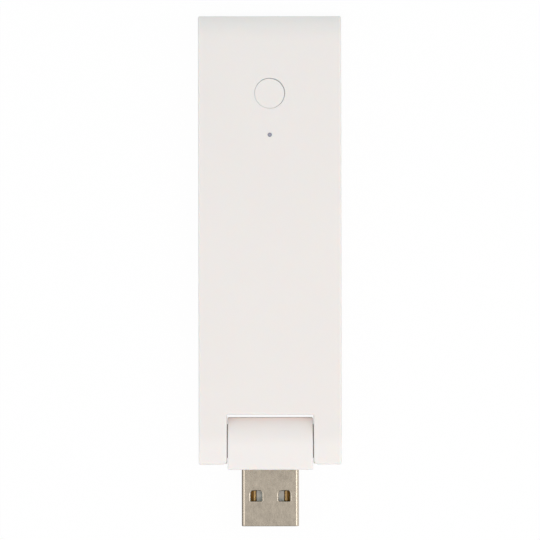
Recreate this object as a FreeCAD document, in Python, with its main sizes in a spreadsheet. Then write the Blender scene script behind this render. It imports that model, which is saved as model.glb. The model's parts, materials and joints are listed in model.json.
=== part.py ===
# Smart home USB radio stick with a friction-hinged plug head and a push button.
# Units are millimetres. The stick lies on its back: its front face looks along +Z, its plug
# points along -Y, and the origin is the centre of its footprint on the table.
import FreeCAD, Part
import Sketcher
import math
import os
from FreeCAD import Vector

os.makedirs("parts", exist_ok=True)
doc = FreeCAD.newDocument("RadioStick")

# Driving sizes, kept in a spreadsheet

SIZES = {
    # Casing
    "body_width": 30.0,
    "body_length": 94.0,
    "body_thick": 9.5,
    "side_wall": 1.4,
    "front_skin": 1.4,
    "rear_skin": 1.4,
    "hinge_wall": 1.2,
    "parting_height": 2.6,
    "corner_round": 0.4,
    "ear_round": 0.9,
    "rear_ear_round": 0.15,
    "notch_round": 0.2,
    "front_edge_round": 0.4,
    "back_edge_round": 0.5,
    "seam_bevel": 0.1,
    "end_arc_radius": 6.9,
    "end_arc_run": 5.0,
    "tongue_setback": 0.7,
    "tongue_height": 0.7,
    "tongue_play": 0.05,
    # Snap hooks between the covers
    "hook_width": 3.0,
    "hook_thick": 0.7,
    "hook_height": 5.5,
    "hook_barb": 0.3,
    "hook_barb_length": 0.8,
    "hook_play": 0.1,
    "hook_from_top": 22.0,
    "hook_from_notch": 20.0,
    # Notch and hinge
    "ear_width": 5.9,
    "notch_gap": 0.2,
    "pivot_from_end": 4.86,
    "head_side_gap": 0.145,
    "head_back_gap": 0.03,
    "head_overhang": 1.1,
    "head_edge_round": 0.3,
    "head_top_reach": 4.96,
    "head_crown_run": 6.3,
    "head_crown_radius": 8.75,
    "head_top_round": 0.35,
    "head_cheek": 1.2,
    "shaft_radius": 1.9,
    "bearing_play": 0.05,
    "flange_radius": 2.8,
    "flange_flat": 2.2,
    "flange_thick": 0.7,
    "pin_bore_radius": 1.15,
    "pin_tail": 0.2,
    "groove_depth": 0.3,
    "washer_radius": 3.55,
    "washer_play": 0.025,
    "spring_sheet": 0.12,
    "spring_height": 0.24,
    "spring_radius": 2.75,
    "clip_thick": 0.35,
    "clip_radius": 2.75,
    "clip_mouth": 2.4,
    "saddle_drop": 1.15,
    "saddle_play": 0.03,
    "peg_radius": 0.4,
    "peg_height": 0.7,
    "peg_play": 0.05,
    # USB plug
    "plug_width": 12.0,
    "plug_height": 4.5,
    "plug_reach": 11.9,
    "plug_depth": 3.8,
    "plug_sheet": 0.3,
    "plug_corner": 0.8,
    "plug_tip_round": 0.18,
    "seam_gap": 0.06,
    "window_width": 2.5,
    "window_length": 2.2,
    "window_from_tip": 5.26,
    "window_offset": 2.95,
    "window_round": 0.6,
    "window_tip_round": 0.15,
    "window_rim_round": 0.25,
    "insulator_recess": 0.4,
    "insulator_top_gap": 0.05,
    "insulator_nose": 0.5,
    "contact_width": 1.25,
    "contact_thick": 0.3,
    "contact_crown": 0.2,
    "contact_inner": 1.0,
    "contact_outer": 3.5,
    "contact_from_tip": 1.4,
    "contact_nose": 0.7,
    "contact_lip": 0.06,
    "contact_tail": 1.2,
    # Wiring
    "cavity_wall": 0.7,
    "cavity_depth": 1.9,
    "cavity_reach": 2.5,
    "wire_radius": 0.25,
    "wire_lane": 0.3,
    "wire_bend": 0.95,
    "cable_radius": 0.9,
    "cable_first_bend": 1.6,
    "cable_second_bend": 2.3,
    "cable_from_notch": 6.5,
    # Main board
    "board_thick": 1.0,
    "board_height": 2.6,
    "board_side_gap": 1.2,
    "board_end_gap": 0.5,
    "board_neck_inset": 3.1,
    "board_neck_length": 9.0,
    "board_corner": 1.0,
    "boss_radius": 1.7,
    "boss_inset": 3.0,
    "boss_from_top": 10.5,
    "boss_from_notch": 14.6,
    "boss_hole_depth": 3.0,
    "screw_shank_radius": 0.7,
    "screw_head_radius": 1.35,
    "screw_head_height": 0.7,
    "screw_hole_play": 0.15,
    "screw_pilot_play": 0.01,
    "screw_length": 3.4,
    "screw_slot_width": 0.4,
    "screw_slot_depth": 0.3,
    "rib_thick": 0.8,
    "rib_end_gap": 1.5,
    "stiffener_height": 0.8,
    # Push button and its switch
    "button_from_top": 16.2,
    "button_hole_radius": 3.18,
    "button_cap_radius": 3.12,
    "button_shift": 0.03,
    "button_rim_round": 0.08,
    "button_flange_radius": 3.7,
    "button_flange_thick": 0.6,
    "button_flange_play": 0.05,
    "collar_play": 0.15,
    "collar_wall": 0.75,
    "collar_height": 1.5,
    "button_stem_radius": 0.9,
    "switch_side": 4.5,
    "switch_base_height": 1.2,
    "switch_floor": 0.3,
    "switch_well_radius": 1.7,
    "switch_plate_thick": 0.2,
    "plunger_radius": 0.8,
    "plunger_flange_radius": 1.3,
    "plunger_rise": 0.5,
    "plunger_play": 0.08,
    "dome_radius": 1.5,
    "dome_height": 0.45,
    "dome_sheet": 0.06,
    # Status light
    "light_from_top": 24.9,
    "light_hole_radius": 0.45,
    "light_tip_play": 0.02,
    "light_recess": 0.04,
    "light_flange_radius": 1.2,
    "light_flange_thick": 0.6,
    "light_rod_radius": 0.8,
    "light_gap": 0.3,
    "light_collar_wall": 0.6,
    "led_length": 1.6,
    "led_width": 1.2,
    "led_height": 0.6,
    # Chips and shields
    "shield_sheet": 0.2,
    "shield_height": 1.7,
    "shield_hole_radius": 0.45,
    "shield_hole_pitch": 2.4,
    "shield_from_boss": 1.0,
    "shield_gap": 0.6,
    "processor_shield_width": 17.0,
    "processor_shield_length": 17.0,
    "processor_side": 9.0,
    "processor_height": 0.9,
    "radio_shield_width": 11.0,
    "radio_shield_length": 11.0,
    "radio_side": 6.0,
    "radio_height": 0.85,
    "memory_width": 4.4,
    "memory_length": 6.0,
    "memory_height": 0.8,
    "regulator_side": 3.0,
    "regulator_height": 1.1,
    "regulator_inset": 2.9,
    "regulator_from_notch": 4.2,
    "inductor_side": 4.0,
    "inductor_height": 1.9,
    "inductor_waist": 1.4,
    "inductor_flange_thick": 0.45,
    "inductor_shift": 1.8,
    "inductor_from_notch": 10.8,
    "crystal_width": 2.5,
    "crystal_length": 2.0,
    "crystal_height": 0.6,
    "crystal_gap": 1.0,
    "capacitor_width": 0.8,
    "capacitor_length": 1.6,
    "capacitor_height": 0.8,
    "resistor_width": 0.6,
    "resistor_length": 1.0,
    "resistor_height": 0.35,
    "small_part_pitch": 2.4,
    "small_part_inset": 1.7,
    "small_part_gap": 0.5,
    # Antennas
    "antenna_width": 8.5,
    "antenna_from_top": 3.4,
    "antenna_reach": 4.2,
    "antenna_rise": 2.9,
    "antenna_foot": 1.2,
    "antenna_sheet": 0.2,
    "antenna_slot_width": 0.6,
    "antenna_slot_length": 6.6,
    # Pad and cable sockets
    "pad_side": 12.0,
    "socket_width": 3.8,
    "socket_length": 7.4,
    "socket_height": 2.8,
    "socket_wall": 0.5,
    "plug_housing_reach": 1.6,
    "plug_housing_gap": 0.1,
}

sizes = doc.addObject("Spreadsheet::Sheet", "Sizes")
for row, (alias, value) in enumerate(SIZES.items(), start=1):
    sizes.set(f"A{row}", alias)
    sizes.set(f"B{row}", str(value))
    sizes.setAlias(f"B{row}", alias)
doc.recompute()

# Places worked out from the driving sizes, as expressions

BODY_TOP = "((Sizes.body_length + Sizes.plug_reach + Sizes.head_overhang) / 2)"
BODY_END = "((Sizes.plug_reach + Sizes.head_overhang - Sizes.body_length) / 2)"
HALF_WIDTH = "(Sizes.body_width / 2)"
INNER_HALF = "(Sizes.body_width / 2 - Sizes.side_wall)"
NOTCH_HALF = "(Sizes.body_width / 2 - Sizes.ear_width)"
CEILING = "(Sizes.body_thick - Sizes.front_skin)"
PIVOT_Y = f"({BODY_END} + Sizes.pivot_from_end)"
PIVOT_Z = "(Sizes.body_thick / 2)"
BEARING_RADIUS = "(Sizes.shaft_radius + Sizes.bearing_play)"
HEAD_RISE = f"({PIVOT_Z} - Sizes.head_back_gap)"
CROWN_START = "(Sizes.head_top_reach - Sizes.head_crown_run)"
CROWN_MIDDLE = f"({HEAD_RISE} - Sizes.head_crown_radius)"
CROWN_EDGE = f"({CROWN_MIDDLE} + sqrt(Sizes.head_crown_radius ^ 2 - Sizes.head_crown_run ^ 2))"
HEAD_SWING = f"sqrt(Sizes.head_top_reach ^ 2 + {CROWN_EDGE} ^ 2)"
NOTCH_TOP = f"({PIVOT_Y} + {HEAD_SWING} + Sizes.notch_gap)"
HEAD_HALF = f"({NOTCH_HALF} - Sizes.head_side_gap)"
HEAD_END = "(0 - Sizes.pivot_from_end - Sizes.head_overhang)"
PLUG_TIP = f"({HEAD_END} - Sizes.plug_reach)"
SHELL_BACK = f"({HEAD_END} + Sizes.plug_depth)"
FLANGE_OUT = f"({HEAD_HALF} - Sizes.head_cheek)"
FLANGE_IN = f"({FLANGE_OUT} - Sizes.flange_thick)"
CAVITY_HALF = f"({FLANGE_IN} - Sizes.cavity_wall)"
EAR_WALL_FACE = f"({NOTCH_HALF} + Sizes.hinge_wall)"
SPRING_SEAT = f"({EAR_WALL_FACE} + Sizes.washer_play)"
CLIP_SEAT = f"({SPRING_SEAT} + Sizes.spring_height)"
PIN_END = f"({CLIP_SEAT} + Sizes.clip_thick + Sizes.pin_tail)"
BOARD_TOP = "(Sizes.board_height + Sizes.board_thick)"
BOARD_SIDE = f"({INNER_HALF} - Sizes.board_side_gap)"
NECK_HALF = f"({BOARD_SIDE} - Sizes.board_neck_inset)"
BOSS_X = f"({BOARD_SIDE} - Sizes.boss_inset)"
SMALL_PART_X = f"({BOARD_SIDE} - Sizes.small_part_inset)"
BUTTON_Y = f"({BODY_TOP} - Sizes.button_from_top)"
LIGHT_Y = f"({BODY_TOP} - Sizes.light_from_top)"
BOSS_TOP_Y = f"({BODY_TOP} - Sizes.boss_from_top)"
BOSS_LOW_Y = f"({NOTCH_TOP} + Sizes.boss_from_notch)"
HOOK_TOP_Y = f"({BODY_TOP} - Sizes.hook_from_top)"
HOOK_LOW_Y = f"({NOTCH_TOP} + Sizes.hook_from_notch)"
SHIELD_LOW = f"({BOSS_LOW_Y} + Sizes.boss_radius + Sizes.shield_from_boss)"
PROCESSOR_Y = f"({SHIELD_LOW} + Sizes.processor_shield_length / 2)"
RADIO_LOW = f"({SHIELD_LOW} + Sizes.processor_shield_length + Sizes.shield_gap)"
RADIO_Y = f"({RADIO_LOW} + Sizes.radio_shield_length / 2)"
RADIO_EDGE = f"({SMALL_PART_X} - Sizes.resistor_length / 2 - Sizes.small_part_gap)"
RADIO_X = f"(Sizes.radio_shield_width / 2 - {RADIO_EDGE})"
MEMORY_EDGE = f"({SMALL_PART_X} - Sizes.capacitor_width / 2 - Sizes.small_part_gap)"
MEMORY_X = f"({MEMORY_EDGE} - Sizes.memory_width / 2)"
CABLE_Y = f"({NOTCH_TOP} + Sizes.cable_from_notch)"
ANTENNA_Y = f"({BODY_TOP} - Sizes.antenna_from_top)"
SIDES = {"left": -1, "right": 1}

pieces = []


# Helpers for sketches and features


def value_of(expression):
    """Number that an expression on the sheet gives now."""
    return float(sizes.evalExpression(expression))


def new_body(label, place=("0", "0", "0")):
    """Body with its placement bound to the sheet, kept as one of the pieces."""
    body = doc.addObject("PartDesign::Body", label)
    body.Label = label
    for axis, expression in zip("xyz", place):
        body.setExpression(f".Placement.Base.{axis}", expression)
    pieces.append(body)
    return body


def new_sketch(body, name, role, offset="0"):
    """Sketch on one of the body's origin planes, moved along the plane's normal."""
    sketch = body.newObject("Sketcher::SketchObject", f"{body.Name}_{name}_sketch")
    support = next(plane for plane in body.Origin.OriginFeatures if plane.Role == role)
    sketch.AttachmentSupport = (support, [""])
    sketch.MapMode = "FlatFace"
    sketch.setExpression(".AttachmentOffset.Base.z", offset)
    return sketch


def constrain(sketch, kind, *reference, expression):
    """Dimension on a sketch that follows an expression."""
    number = sketch.addConstraint(Sketcher.Constraint(kind, *reference, value_of(expression)))
    sketch.setExpression(f"Constraints[{number}]", expression)


def place_point(sketch, geometry, end, x, y):
    constrain(sketch, "DistanceX", -1, 1, geometry, end, expression=x)
    constrain(sketch, "DistanceY", -1, 1, geometry, end, expression=y)


def add_arc(sketch, start, finish, centre, radius):
    """Arc shorter than a half turn; returns its point numbers at the start and the finish."""
    first = math.atan2(start.y - centre.y, start.x - centre.x)
    last = math.atan2(finish.y - centre.y, finish.x - centre.x)
    circle = Part.Circle(centre, Vector(0, 0, 1), radius)
    if (last - first) % (2 * math.pi) < math.pi:
        sketch.addGeometry(Part.ArcOfCircle(circle, first, last), False)
        return 1, 2
    sketch.addGeometry(Part.ArcOfCircle(circle, last, first), False)
    return 2, 1


def draw_profile(sketch, points, arcs=None, closed=True):
    """Outline through points; arcs gives some sides, by number, a radius and a centre."""
    arcs = arcs or {}
    spots = [Vector(value_of(x), value_of(y), 0) for x, y in points]
    count = len(points) if closed else len(points) - 1
    base = sketch.GeometryCount
    ends = []
    for side in range(count):
        start = spots[side]
        finish = spots[(side + 1) % len(spots)]
        if side in arcs:
            radius, centre_x, centre_y = arcs[side]
            centre = Vector(value_of(centre_x), value_of(centre_y), 0)
            ends.append(add_arc(sketch, start, finish, centre, value_of(radius)))
            constrain(sketch, "Radius", base + side, expression=radius)
        else:
            sketch.addGeometry(Part.LineSegment(start, finish), False)
            ends.append((1, 2))
        place_point(sketch, base + side, ends[side][0], *points[side])
    joints = range(count) if closed else range(count - 1)
    for side in joints:
        after = (side + 1) % count
        link = Sketcher.Constraint("Coincident", base + side, ends[side][1], base + after, ends[after][0])
        sketch.addConstraint(link)
    if not closed:
        place_point(sketch, base + count - 1, ends[-1][1], *points[-1])


def draw_rectangle(sketch, left, right, low, high):
    draw_profile(sketch, [(left, low), (right, low), (right, high), (left, high)])


def draw_circle(sketch, x, y, radius):
    spot = Vector(value_of(x), value_of(y), 0)
    number = sketch.addGeometry(Part.Circle(spot, Vector(0, 0, 1), value_of(radius)), False)
    place_point(sketch, number, 3, x, y)
    constrain(sketch, "Radius", number, expression=radius)


def pad(body, name, sketch, length, symmetric=False, reverse=False):
    """Pad of a sketch, along its normal unless reversed."""
    feature = body.newObject("PartDesign::Pad", f"{body.Name}_{name}")
    feature.Profile = sketch
    feature.SideType = "Symmetric" if symmetric else "One side"
    feature.Reversed = reverse
    feature.setExpression("Length", length)
    doc.recompute()
    return feature


def pocket(body, name, sketch, length, symmetric=False, reverse=False):
    """Pocket of a sketch, against its normal unless reversed, which has to remove material."""
    before = body.Shape.Volume
    feature = body.newObject("PartDesign::Pocket", f"{body.Name}_{name}")
    feature.Profile = sketch
    feature.SideType = "Symmetric" if symmetric else "One side"
    feature.Reversed = reverse
    feature.setExpression("Length", length)
    doc.recompute()
    if feature.Shape.Volume >= before:
        raise RuntimeError(f"{feature.Name} cuts nothing")
    return feature


def revolve(body, name, sketch, axis):
    feature = body.newObject("PartDesign::Revolution", f"{body.Name}_{name}")
    feature.Profile = sketch
    feature.ReferenceAxis = (sketch, [axis])
    feature.Angle = 360
    doc.recompute()
    return feature


def round_edges(body, name, chosen, radius, kind="PartDesign::Fillet"):
    """Fillet or chamfer on the edges of the body's tip that a test picks."""
    base = body.Tip
    names = [f"Edge{number}" for number, edge in enumerate(base.Shape.Edges, start=1) if chosen(edge)]
    if not names:
        raise RuntimeError(f"{name} finds no edge on {body.Label}")
    feature = body.newObject(kind, f"{body.Name}_{name}")
    feature.Base = (base, names)
    feature.setExpression("Radius" if kind.endswith("Fillet") else "Size", radius)
    doc.recompute()
    return feature


def near(first, second):
    return abs(first - second) < 1e-4


def is_upright(edge):
    """True for a straight edge along Z."""
    box = edge.BoundBox
    return box.ZLength > 1e-3 and box.XLength < 1e-6 and box.YLength < 1e-6


def upright_at(x, y):
    """Test for upright edges at the places plus and minus x."""
    place_x = value_of(x)
    place_y = value_of(y)

    def chosen(edge):
        box = edge.BoundBox
        return is_upright(edge) and near(abs(box.XMin), place_x) and near(box.YMin, place_y)

    return chosen


def bind_box(box, low, size):
    """Part box whose corner and size follow expressions."""
    for axis, expression in zip("xyz", low):
        box.setExpression(f".Placement.Base.{axis}", expression)
    for side, expression in zip(("Length", "Width", "Height"), size):
        box.setExpression(side, expression)
    return box


def block(label, x, y, base, length, width, height):
    """Plain block centred on x and y, standing on a level."""
    box = doc.addObject("Part::Box", label)
    box.Label = label
    return bind_box(box, (f"{x} - {length} / 2", f"{y} - {width} / 2", base), (length, width, height))


# Casing


def draw_plan(sketch, outer_inset, notch_inset):
    """Plan of the stick with its notch, moved inwards from both."""
    side = f"({HALF_WIDTH} - ({outer_inset}))"
    top = f"({BODY_TOP} - ({outer_inset}))"
    end = f"({BODY_END} + {outer_inset})"
    notch = f"({NOTCH_HALF} + {notch_inset})"
    notch_top = f"({NOTCH_TOP} + {notch_inset})"
    corners = [
        (f"0 - {side}", end),
        (f"0 - {notch}", end),
        (f"0 - {notch}", notch_top),
        (notch, notch_top),
        (notch, end),
        (side, end),
        (side, top),
        (f"0 - {side}", top),
    ]
    draw_profile(sketch, corners)


def round_plan(body, inner_round):
    """Corner roundings of the casing, seen from the front."""
    round_edges(body, "far_corners", upright_at(HALF_WIDTH, BODY_TOP), "Sizes.corner_round")
    round_edges(body, "outer_ear_corners", upright_at(HALF_WIDTH, BODY_END), "Sizes.corner_round")
    round_edges(body, "inner_ear_corners", upright_at(NOTCH_HALF, BODY_END), inner_round)
    round_edges(body, "notch_corners", upright_at(NOTCH_HALF, NOTCH_TOP), "Sizes.notch_round")


def on_level(z):
    """Test for edges that lie flat on one level."""
    level = value_of(z)

    def chosen(edge):
        return near(edge.BoundBox.ZMin, level) and near(edge.BoundBox.ZMax, level)

    return chosen


def cut_end_arc(body):
    """The far end curves down from the front face along an arc that stops at the end wall."""
    centre_y = f"({BODY_TOP} - Sizes.end_arc_run)"
    centre_z = "(Sizes.body_thick - Sizes.end_arc_radius)"
    arc_end = f"({centre_z} + sqrt(Sizes.end_arc_radius ^ 2 - Sizes.end_arc_run ^ 2))"
    above = "(Sizes.body_thick + 1)"
    beyond = f"({BODY_TOP} + 1)"
    sketch = new_sketch(body, "end_arc", "YZ_Plane")
    corners = [
        (centre_y, "Sizes.body_thick"),
        (BODY_TOP, arc_end),
        (beyond, arc_end),
        (beyond, above),
        (centre_y, above),
    ]
    draw_profile(sketch, corners, arcs={0: ("Sizes.end_arc_radius", centre_y, centre_z)})
    pocket(body, "end_arc", sketch, "Sizes.body_width + 2", symmetric=True)
    tangent_y = value_of(centre_y)
    lowest = value_of(arc_end)

    def front_rim(edge):
        box = edge.BoundBox
        smooth_line = near(box.YMin, tangent_y) and near(box.YMax, tangent_y)
        return box.ZMin > lowest - 1e-3 and not smooth_line

    round_edges(body, "front_rim", front_rim, "Sizes.front_edge_round")


def line_end_arc(cover):
    """Filling of the hollow below the end arc, so that the skin there is as thick as elsewhere."""
    centre_y = f"({BODY_TOP} - Sizes.end_arc_run)"
    centre_z = "(Sizes.body_thick - Sizes.end_arc_radius)"
    wall_y = f"({BODY_TOP} - Sizes.side_wall)"
    radius = "(Sizes.end_arc_radius - Sizes.front_skin)"
    wall_z = f"({centre_z} + sqrt({radius} ^ 2 - (Sizes.end_arc_run - Sizes.side_wall) ^ 2))"
    lining = new_sketch(cover, "arc_lining", "YZ_Plane")
    corners = [(centre_y, CEILING), (wall_y, wall_z), (wall_y, CEILING)]
    draw_profile(lining, corners, arcs={0: (radius, centre_y, centre_z)})
    pad(cover, "arc_lining", lining, f"{INNER_HALF} * 2", symmetric=True)


def bearing_outline(half_width, low):
    """Slot with a round end about the hinge line, open towards the back."""
    top = f"({PIVOT_Z} + {half_width})"
    left = f"({PIVOT_Y} - {half_width})"
    right = f"({PIVOT_Y} + {half_width})"
    points = [(left, low), (right, low), (right, PIVOT_Z), (PIVOT_Y, top), (left, PIVOT_Z)]
    arcs = {2: (half_width, PIVOT_Y, PIVOT_Z), 3: (half_width, PIVOT_Y, PIVOT_Z)}
    return points, arcs


def make_front_cover():
    """Deep tub that carries the button, the light guide, the board and the hinge bearings."""
    cover = new_body("front_cover")
    plan = new_sketch(cover, "plan", "XY_Plane", "Sizes.parting_height")
    draw_plan(plan, "0", "0")
    pad(cover, "plan", plan, "Sizes.body_thick - Sizes.parting_height")
    round_plan(cover, "Sizes.ear_round")
    cut_end_arc(cover)
    round_edges(cover, "seam", on_level("Sizes.parting_height"), "Sizes.seam_bevel", "PartDesign::Chamfer")

    hollow = new_sketch(cover, "hollow", "XY_Plane", "Sizes.parting_height")
    draw_plan(hollow, "Sizes.side_wall", "Sizes.hinge_wall")
    pocket(cover, "hollow", hollow, f"{CEILING} - Sizes.parting_height", reverse=True)
    rebate = new_sketch(cover, "rebate", "XY_Plane", "Sizes.parting_height")
    draw_plan(rebate, "Sizes.tongue_setback", "Sizes.tongue_setback - Sizes.side_wall + Sizes.hinge_wall")
    pocket(cover, "rebate", rebate, "Sizes.tongue_height + Sizes.tongue_play * 2", reverse=True)

    line_end_arc(cover)
    add_stiffeners(cover)
    add_board_bosses(cover)
    button_room = "Sizes.button_flange_radius + Sizes.collar_play"
    add_collar(cover, "button", BUTTON_Y, button_room, "Sizes.collar_wall")
    add_collar(cover, "light", LIGHT_Y, "Sizes.light_flange_radius", "Sizes.light_collar_wall")
    openings = new_sketch(cover, "openings", "XY_Plane", CEILING)
    draw_circle(openings, "0", BUTTON_Y, "Sizes.button_hole_radius")
    draw_circle(openings, "0", LIGHT_Y, "Sizes.light_hole_radius")
    pocket(cover, "openings", openings, "Sizes.front_skin", reverse=True)
    round_edges(cover, "button_rim", circle_at(BUTTON_Y, "Sizes.body_thick"), "Sizes.button_rim_round")

    bearing = new_sketch(cover, "bearing", "YZ_Plane")
    points, arcs = bearing_outline(BEARING_RADIUS, "(Sizes.parting_height - 1)")
    draw_profile(bearing, points, arcs)
    pocket(cover, "bearing", bearing, f"({EAR_WALL_FACE} + 0.1) * 2", symmetric=True)
    catches = new_sketch(cover, "catches", "YZ_Plane")
    for hook_y in (HOOK_TOP_Y, HOOK_LOW_Y):
        reach = "(Sizes.hook_width / 2 + Sizes.hook_play)"
        low = "(Sizes.hook_height - Sizes.hook_barb_length - Sizes.hook_play / 2)"
        high = "(Sizes.hook_height + Sizes.hook_play)"
        draw_rectangle(catches, f"{hook_y} - {reach}", f"{hook_y} + {reach}", low, high)
    pocket(cover, "catches", catches, f"({INNER_HALF} + Sizes.hook_barb) * 2", symmetric=True)
    return cover


def circle_at(y, z):
    """Test for full circles about the line x = 0 at one place."""
    place_y = value_of(y)
    place_z = value_of(z)

    def chosen(edge):
        box = edge.BoundBox
        return (
            near(box.ZMin, place_z)
            and near(box.ZMax, place_z)
            and near(box.YMin + box.YMax, 2 * place_y)
            and near(box.XMin + box.XMax, 0)
        )

    return chosen


def add_stiffeners(cover):
    """Cross ribs on the inside of the front face."""
    ribs = new_sketch(cover, "stiffeners", "XY_Plane", CEILING)
    for rib_y in (BOSS_TOP_Y, RADIO_Y, PROCESSOR_Y, BOSS_LOW_Y):
        low = f"{rib_y} - Sizes.rib_thick / 2"
        high = f"{rib_y} + Sizes.rib_thick / 2"
        draw_rectangle(ribs, f"0 - {INNER_HALF}", INNER_HALF, low, high)
    pad(cover, "stiffeners", ribs, "Sizes.stiffener_height", reverse=True)


def boss_spots():
    """Places of the four board screws."""
    return [(x, y) for y in (BOSS_TOP_Y, BOSS_LOW_Y) for x in (f"0 - {BOSS_X}", BOSS_X)]


def add_board_bosses(cover):
    """Screw bosses from the front skin down to the board, with blind pilot holes."""
    bosses = new_sketch(cover, "bosses", "XY_Plane", BOARD_TOP)
    holes = new_sketch(cover, "pilot_holes", "XY_Plane", BOARD_TOP)
    for x, y in boss_spots():
        draw_circle(bosses, x, y, "Sizes.boss_radius")
        draw_circle(holes, x, y, "Sizes.screw_shank_radius + Sizes.screw_pilot_play")
    pad(cover, "bosses", bosses, f"{CEILING} - {BOARD_TOP}")
    pocket(cover, "pilot_holes", holes, "Sizes.boss_hole_depth", reverse=True)


def add_collar(cover, name, y, inner, wall):
    """Round guide on the inside of the front face."""
    ring = new_sketch(cover, f"{name}_collar", "XY_Plane", CEILING)
    draw_circle(ring, "0", y, f"{inner} + {wall}")
    draw_circle(ring, "0", y, inner)
    pad(cover, f"{name}_collar", ring, "Sizes.collar_height", reverse=True)


def make_rear_cover():
    """Shallow lid with a tongue, four snap hooks, board ribs and the lower halves of the bearings."""
    cover = new_body("rear_cover")
    plan = new_sketch(cover, "plan", "XY_Plane")
    draw_plan(plan, "0", "0")
    pad(cover, "plan", plan, "Sizes.parting_height")
    round_plan(cover, "Sizes.rear_ear_round")
    round_edges(cover, "back_rim", on_level("0"), "Sizes.back_edge_round")
    round_edges(cover, "seam", on_level("Sizes.parting_height"), "Sizes.seam_bevel", "PartDesign::Chamfer")
    hollow = new_sketch(cover, "hollow", "XY_Plane", "Sizes.rear_skin")
    draw_plan(hollow, "Sizes.side_wall", "Sizes.hinge_wall")
    pocket(cover, "hollow", hollow, "Sizes.parting_height - Sizes.rear_skin", reverse=True)

    tongue = new_sketch(cover, "tongue", "XY_Plane", "Sizes.parting_height")
    setback = "Sizes.tongue_setback + Sizes.tongue_play"
    draw_plan(tongue, setback, f"{setback} - Sizes.side_wall + Sizes.hinge_wall")
    draw_plan(tongue, "Sizes.side_wall", "Sizes.hinge_wall")
    pad(cover, "tongue", tongue, "Sizes.tongue_height")
    add_board_ribs(cover)
    add_hooks(cover)
    for side, start in (("left", f"(0 - {EAR_WALL_FACE})"), ("right", NOTCH_HALF)):
        add_saddle(cover, side, start)
    bore = new_sketch(cover, "bearing", "YZ_Plane")
    draw_circle(bore, PIVOT_Y, PIVOT_Z, BEARING_RADIUS)
    pocket(cover, "bearing", bore, f"({EAR_WALL_FACE} + 0.1) * 2", symmetric=True)
    return cover


def add_board_ribs(cover):
    """Cross ribs that the board lies on."""
    ribs = new_sketch(cover, "board_ribs", "XY_Plane", "Sizes.rear_skin")
    half = f"({BOSS_X} - Sizes.screw_head_radius - Sizes.rib_end_gap)"
    for rib_y in (BOSS_TOP_Y, LIGHT_Y, RADIO_Y, BOSS_LOW_Y):
        low = f"{rib_y} - Sizes.rib_thick / 2"
        high = f"{rib_y} + Sizes.rib_thick / 2"
        draw_rectangle(ribs, f"0 - {half}", half, low, high)
    pad(cover, "board_ribs", ribs, "Sizes.board_height - Sizes.rear_skin")


def add_hooks(cover):
    """Snap hooks with a ramped barb, two on each long side."""
    outer = f"({INNER_HALF} - Sizes.hook_play)"
    inner = f"({outer} - Sizes.hook_thick)"
    barb = f"({INNER_HALF} + Sizes.hook_barb - Sizes.hook_play)"
    root = "Sizes.rear_skin"
    barb_low = "(Sizes.hook_height - Sizes.hook_barb_length)"
    tip = "Sizes.hook_height"
    right = [(inner, root), (outer, root), (outer, barb_low), (barb, barb_low), (outer, tip), (inner, tip)]
    left = [(f"0 - {x}", z) for x, z in right]
    for place, hook_y in (("far", HOOK_TOP_Y), ("near", HOOK_LOW_Y)):
        hooks = new_sketch(cover, f"{place}_hooks", "XZ_Plane", f"0 - {hook_y}")
        draw_profile(hooks, right)
        draw_profile(hooks, left)
        pad(cover, f"{place}_hooks", hooks, "Sizes.hook_width", symmetric=True)


def add_saddle(cover, side, start):
    """Tab that fills a bearing slot up to just below the hinge line."""
    half = f"({BEARING_RADIUS} - Sizes.saddle_play)"
    tab = new_sketch(cover, f"{side}_saddle", "YZ_Plane", start)
    top = f"{PIVOT_Z} - Sizes.saddle_drop"
    draw_rectangle(tab, f"{PIVOT_Y} - {half}", f"{PIVOT_Y} + {half}", "Sizes.rear_skin", top)
    pad(cover, f"{side}_saddle", tab, "Sizes.hinge_wall")


# Plug head and its hinge


def head_body(label):
    """Body whose own origin is the middle of the hinge line."""
    return new_body(label, ("0", PIVOT_Y, PIVOT_Z))


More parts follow.
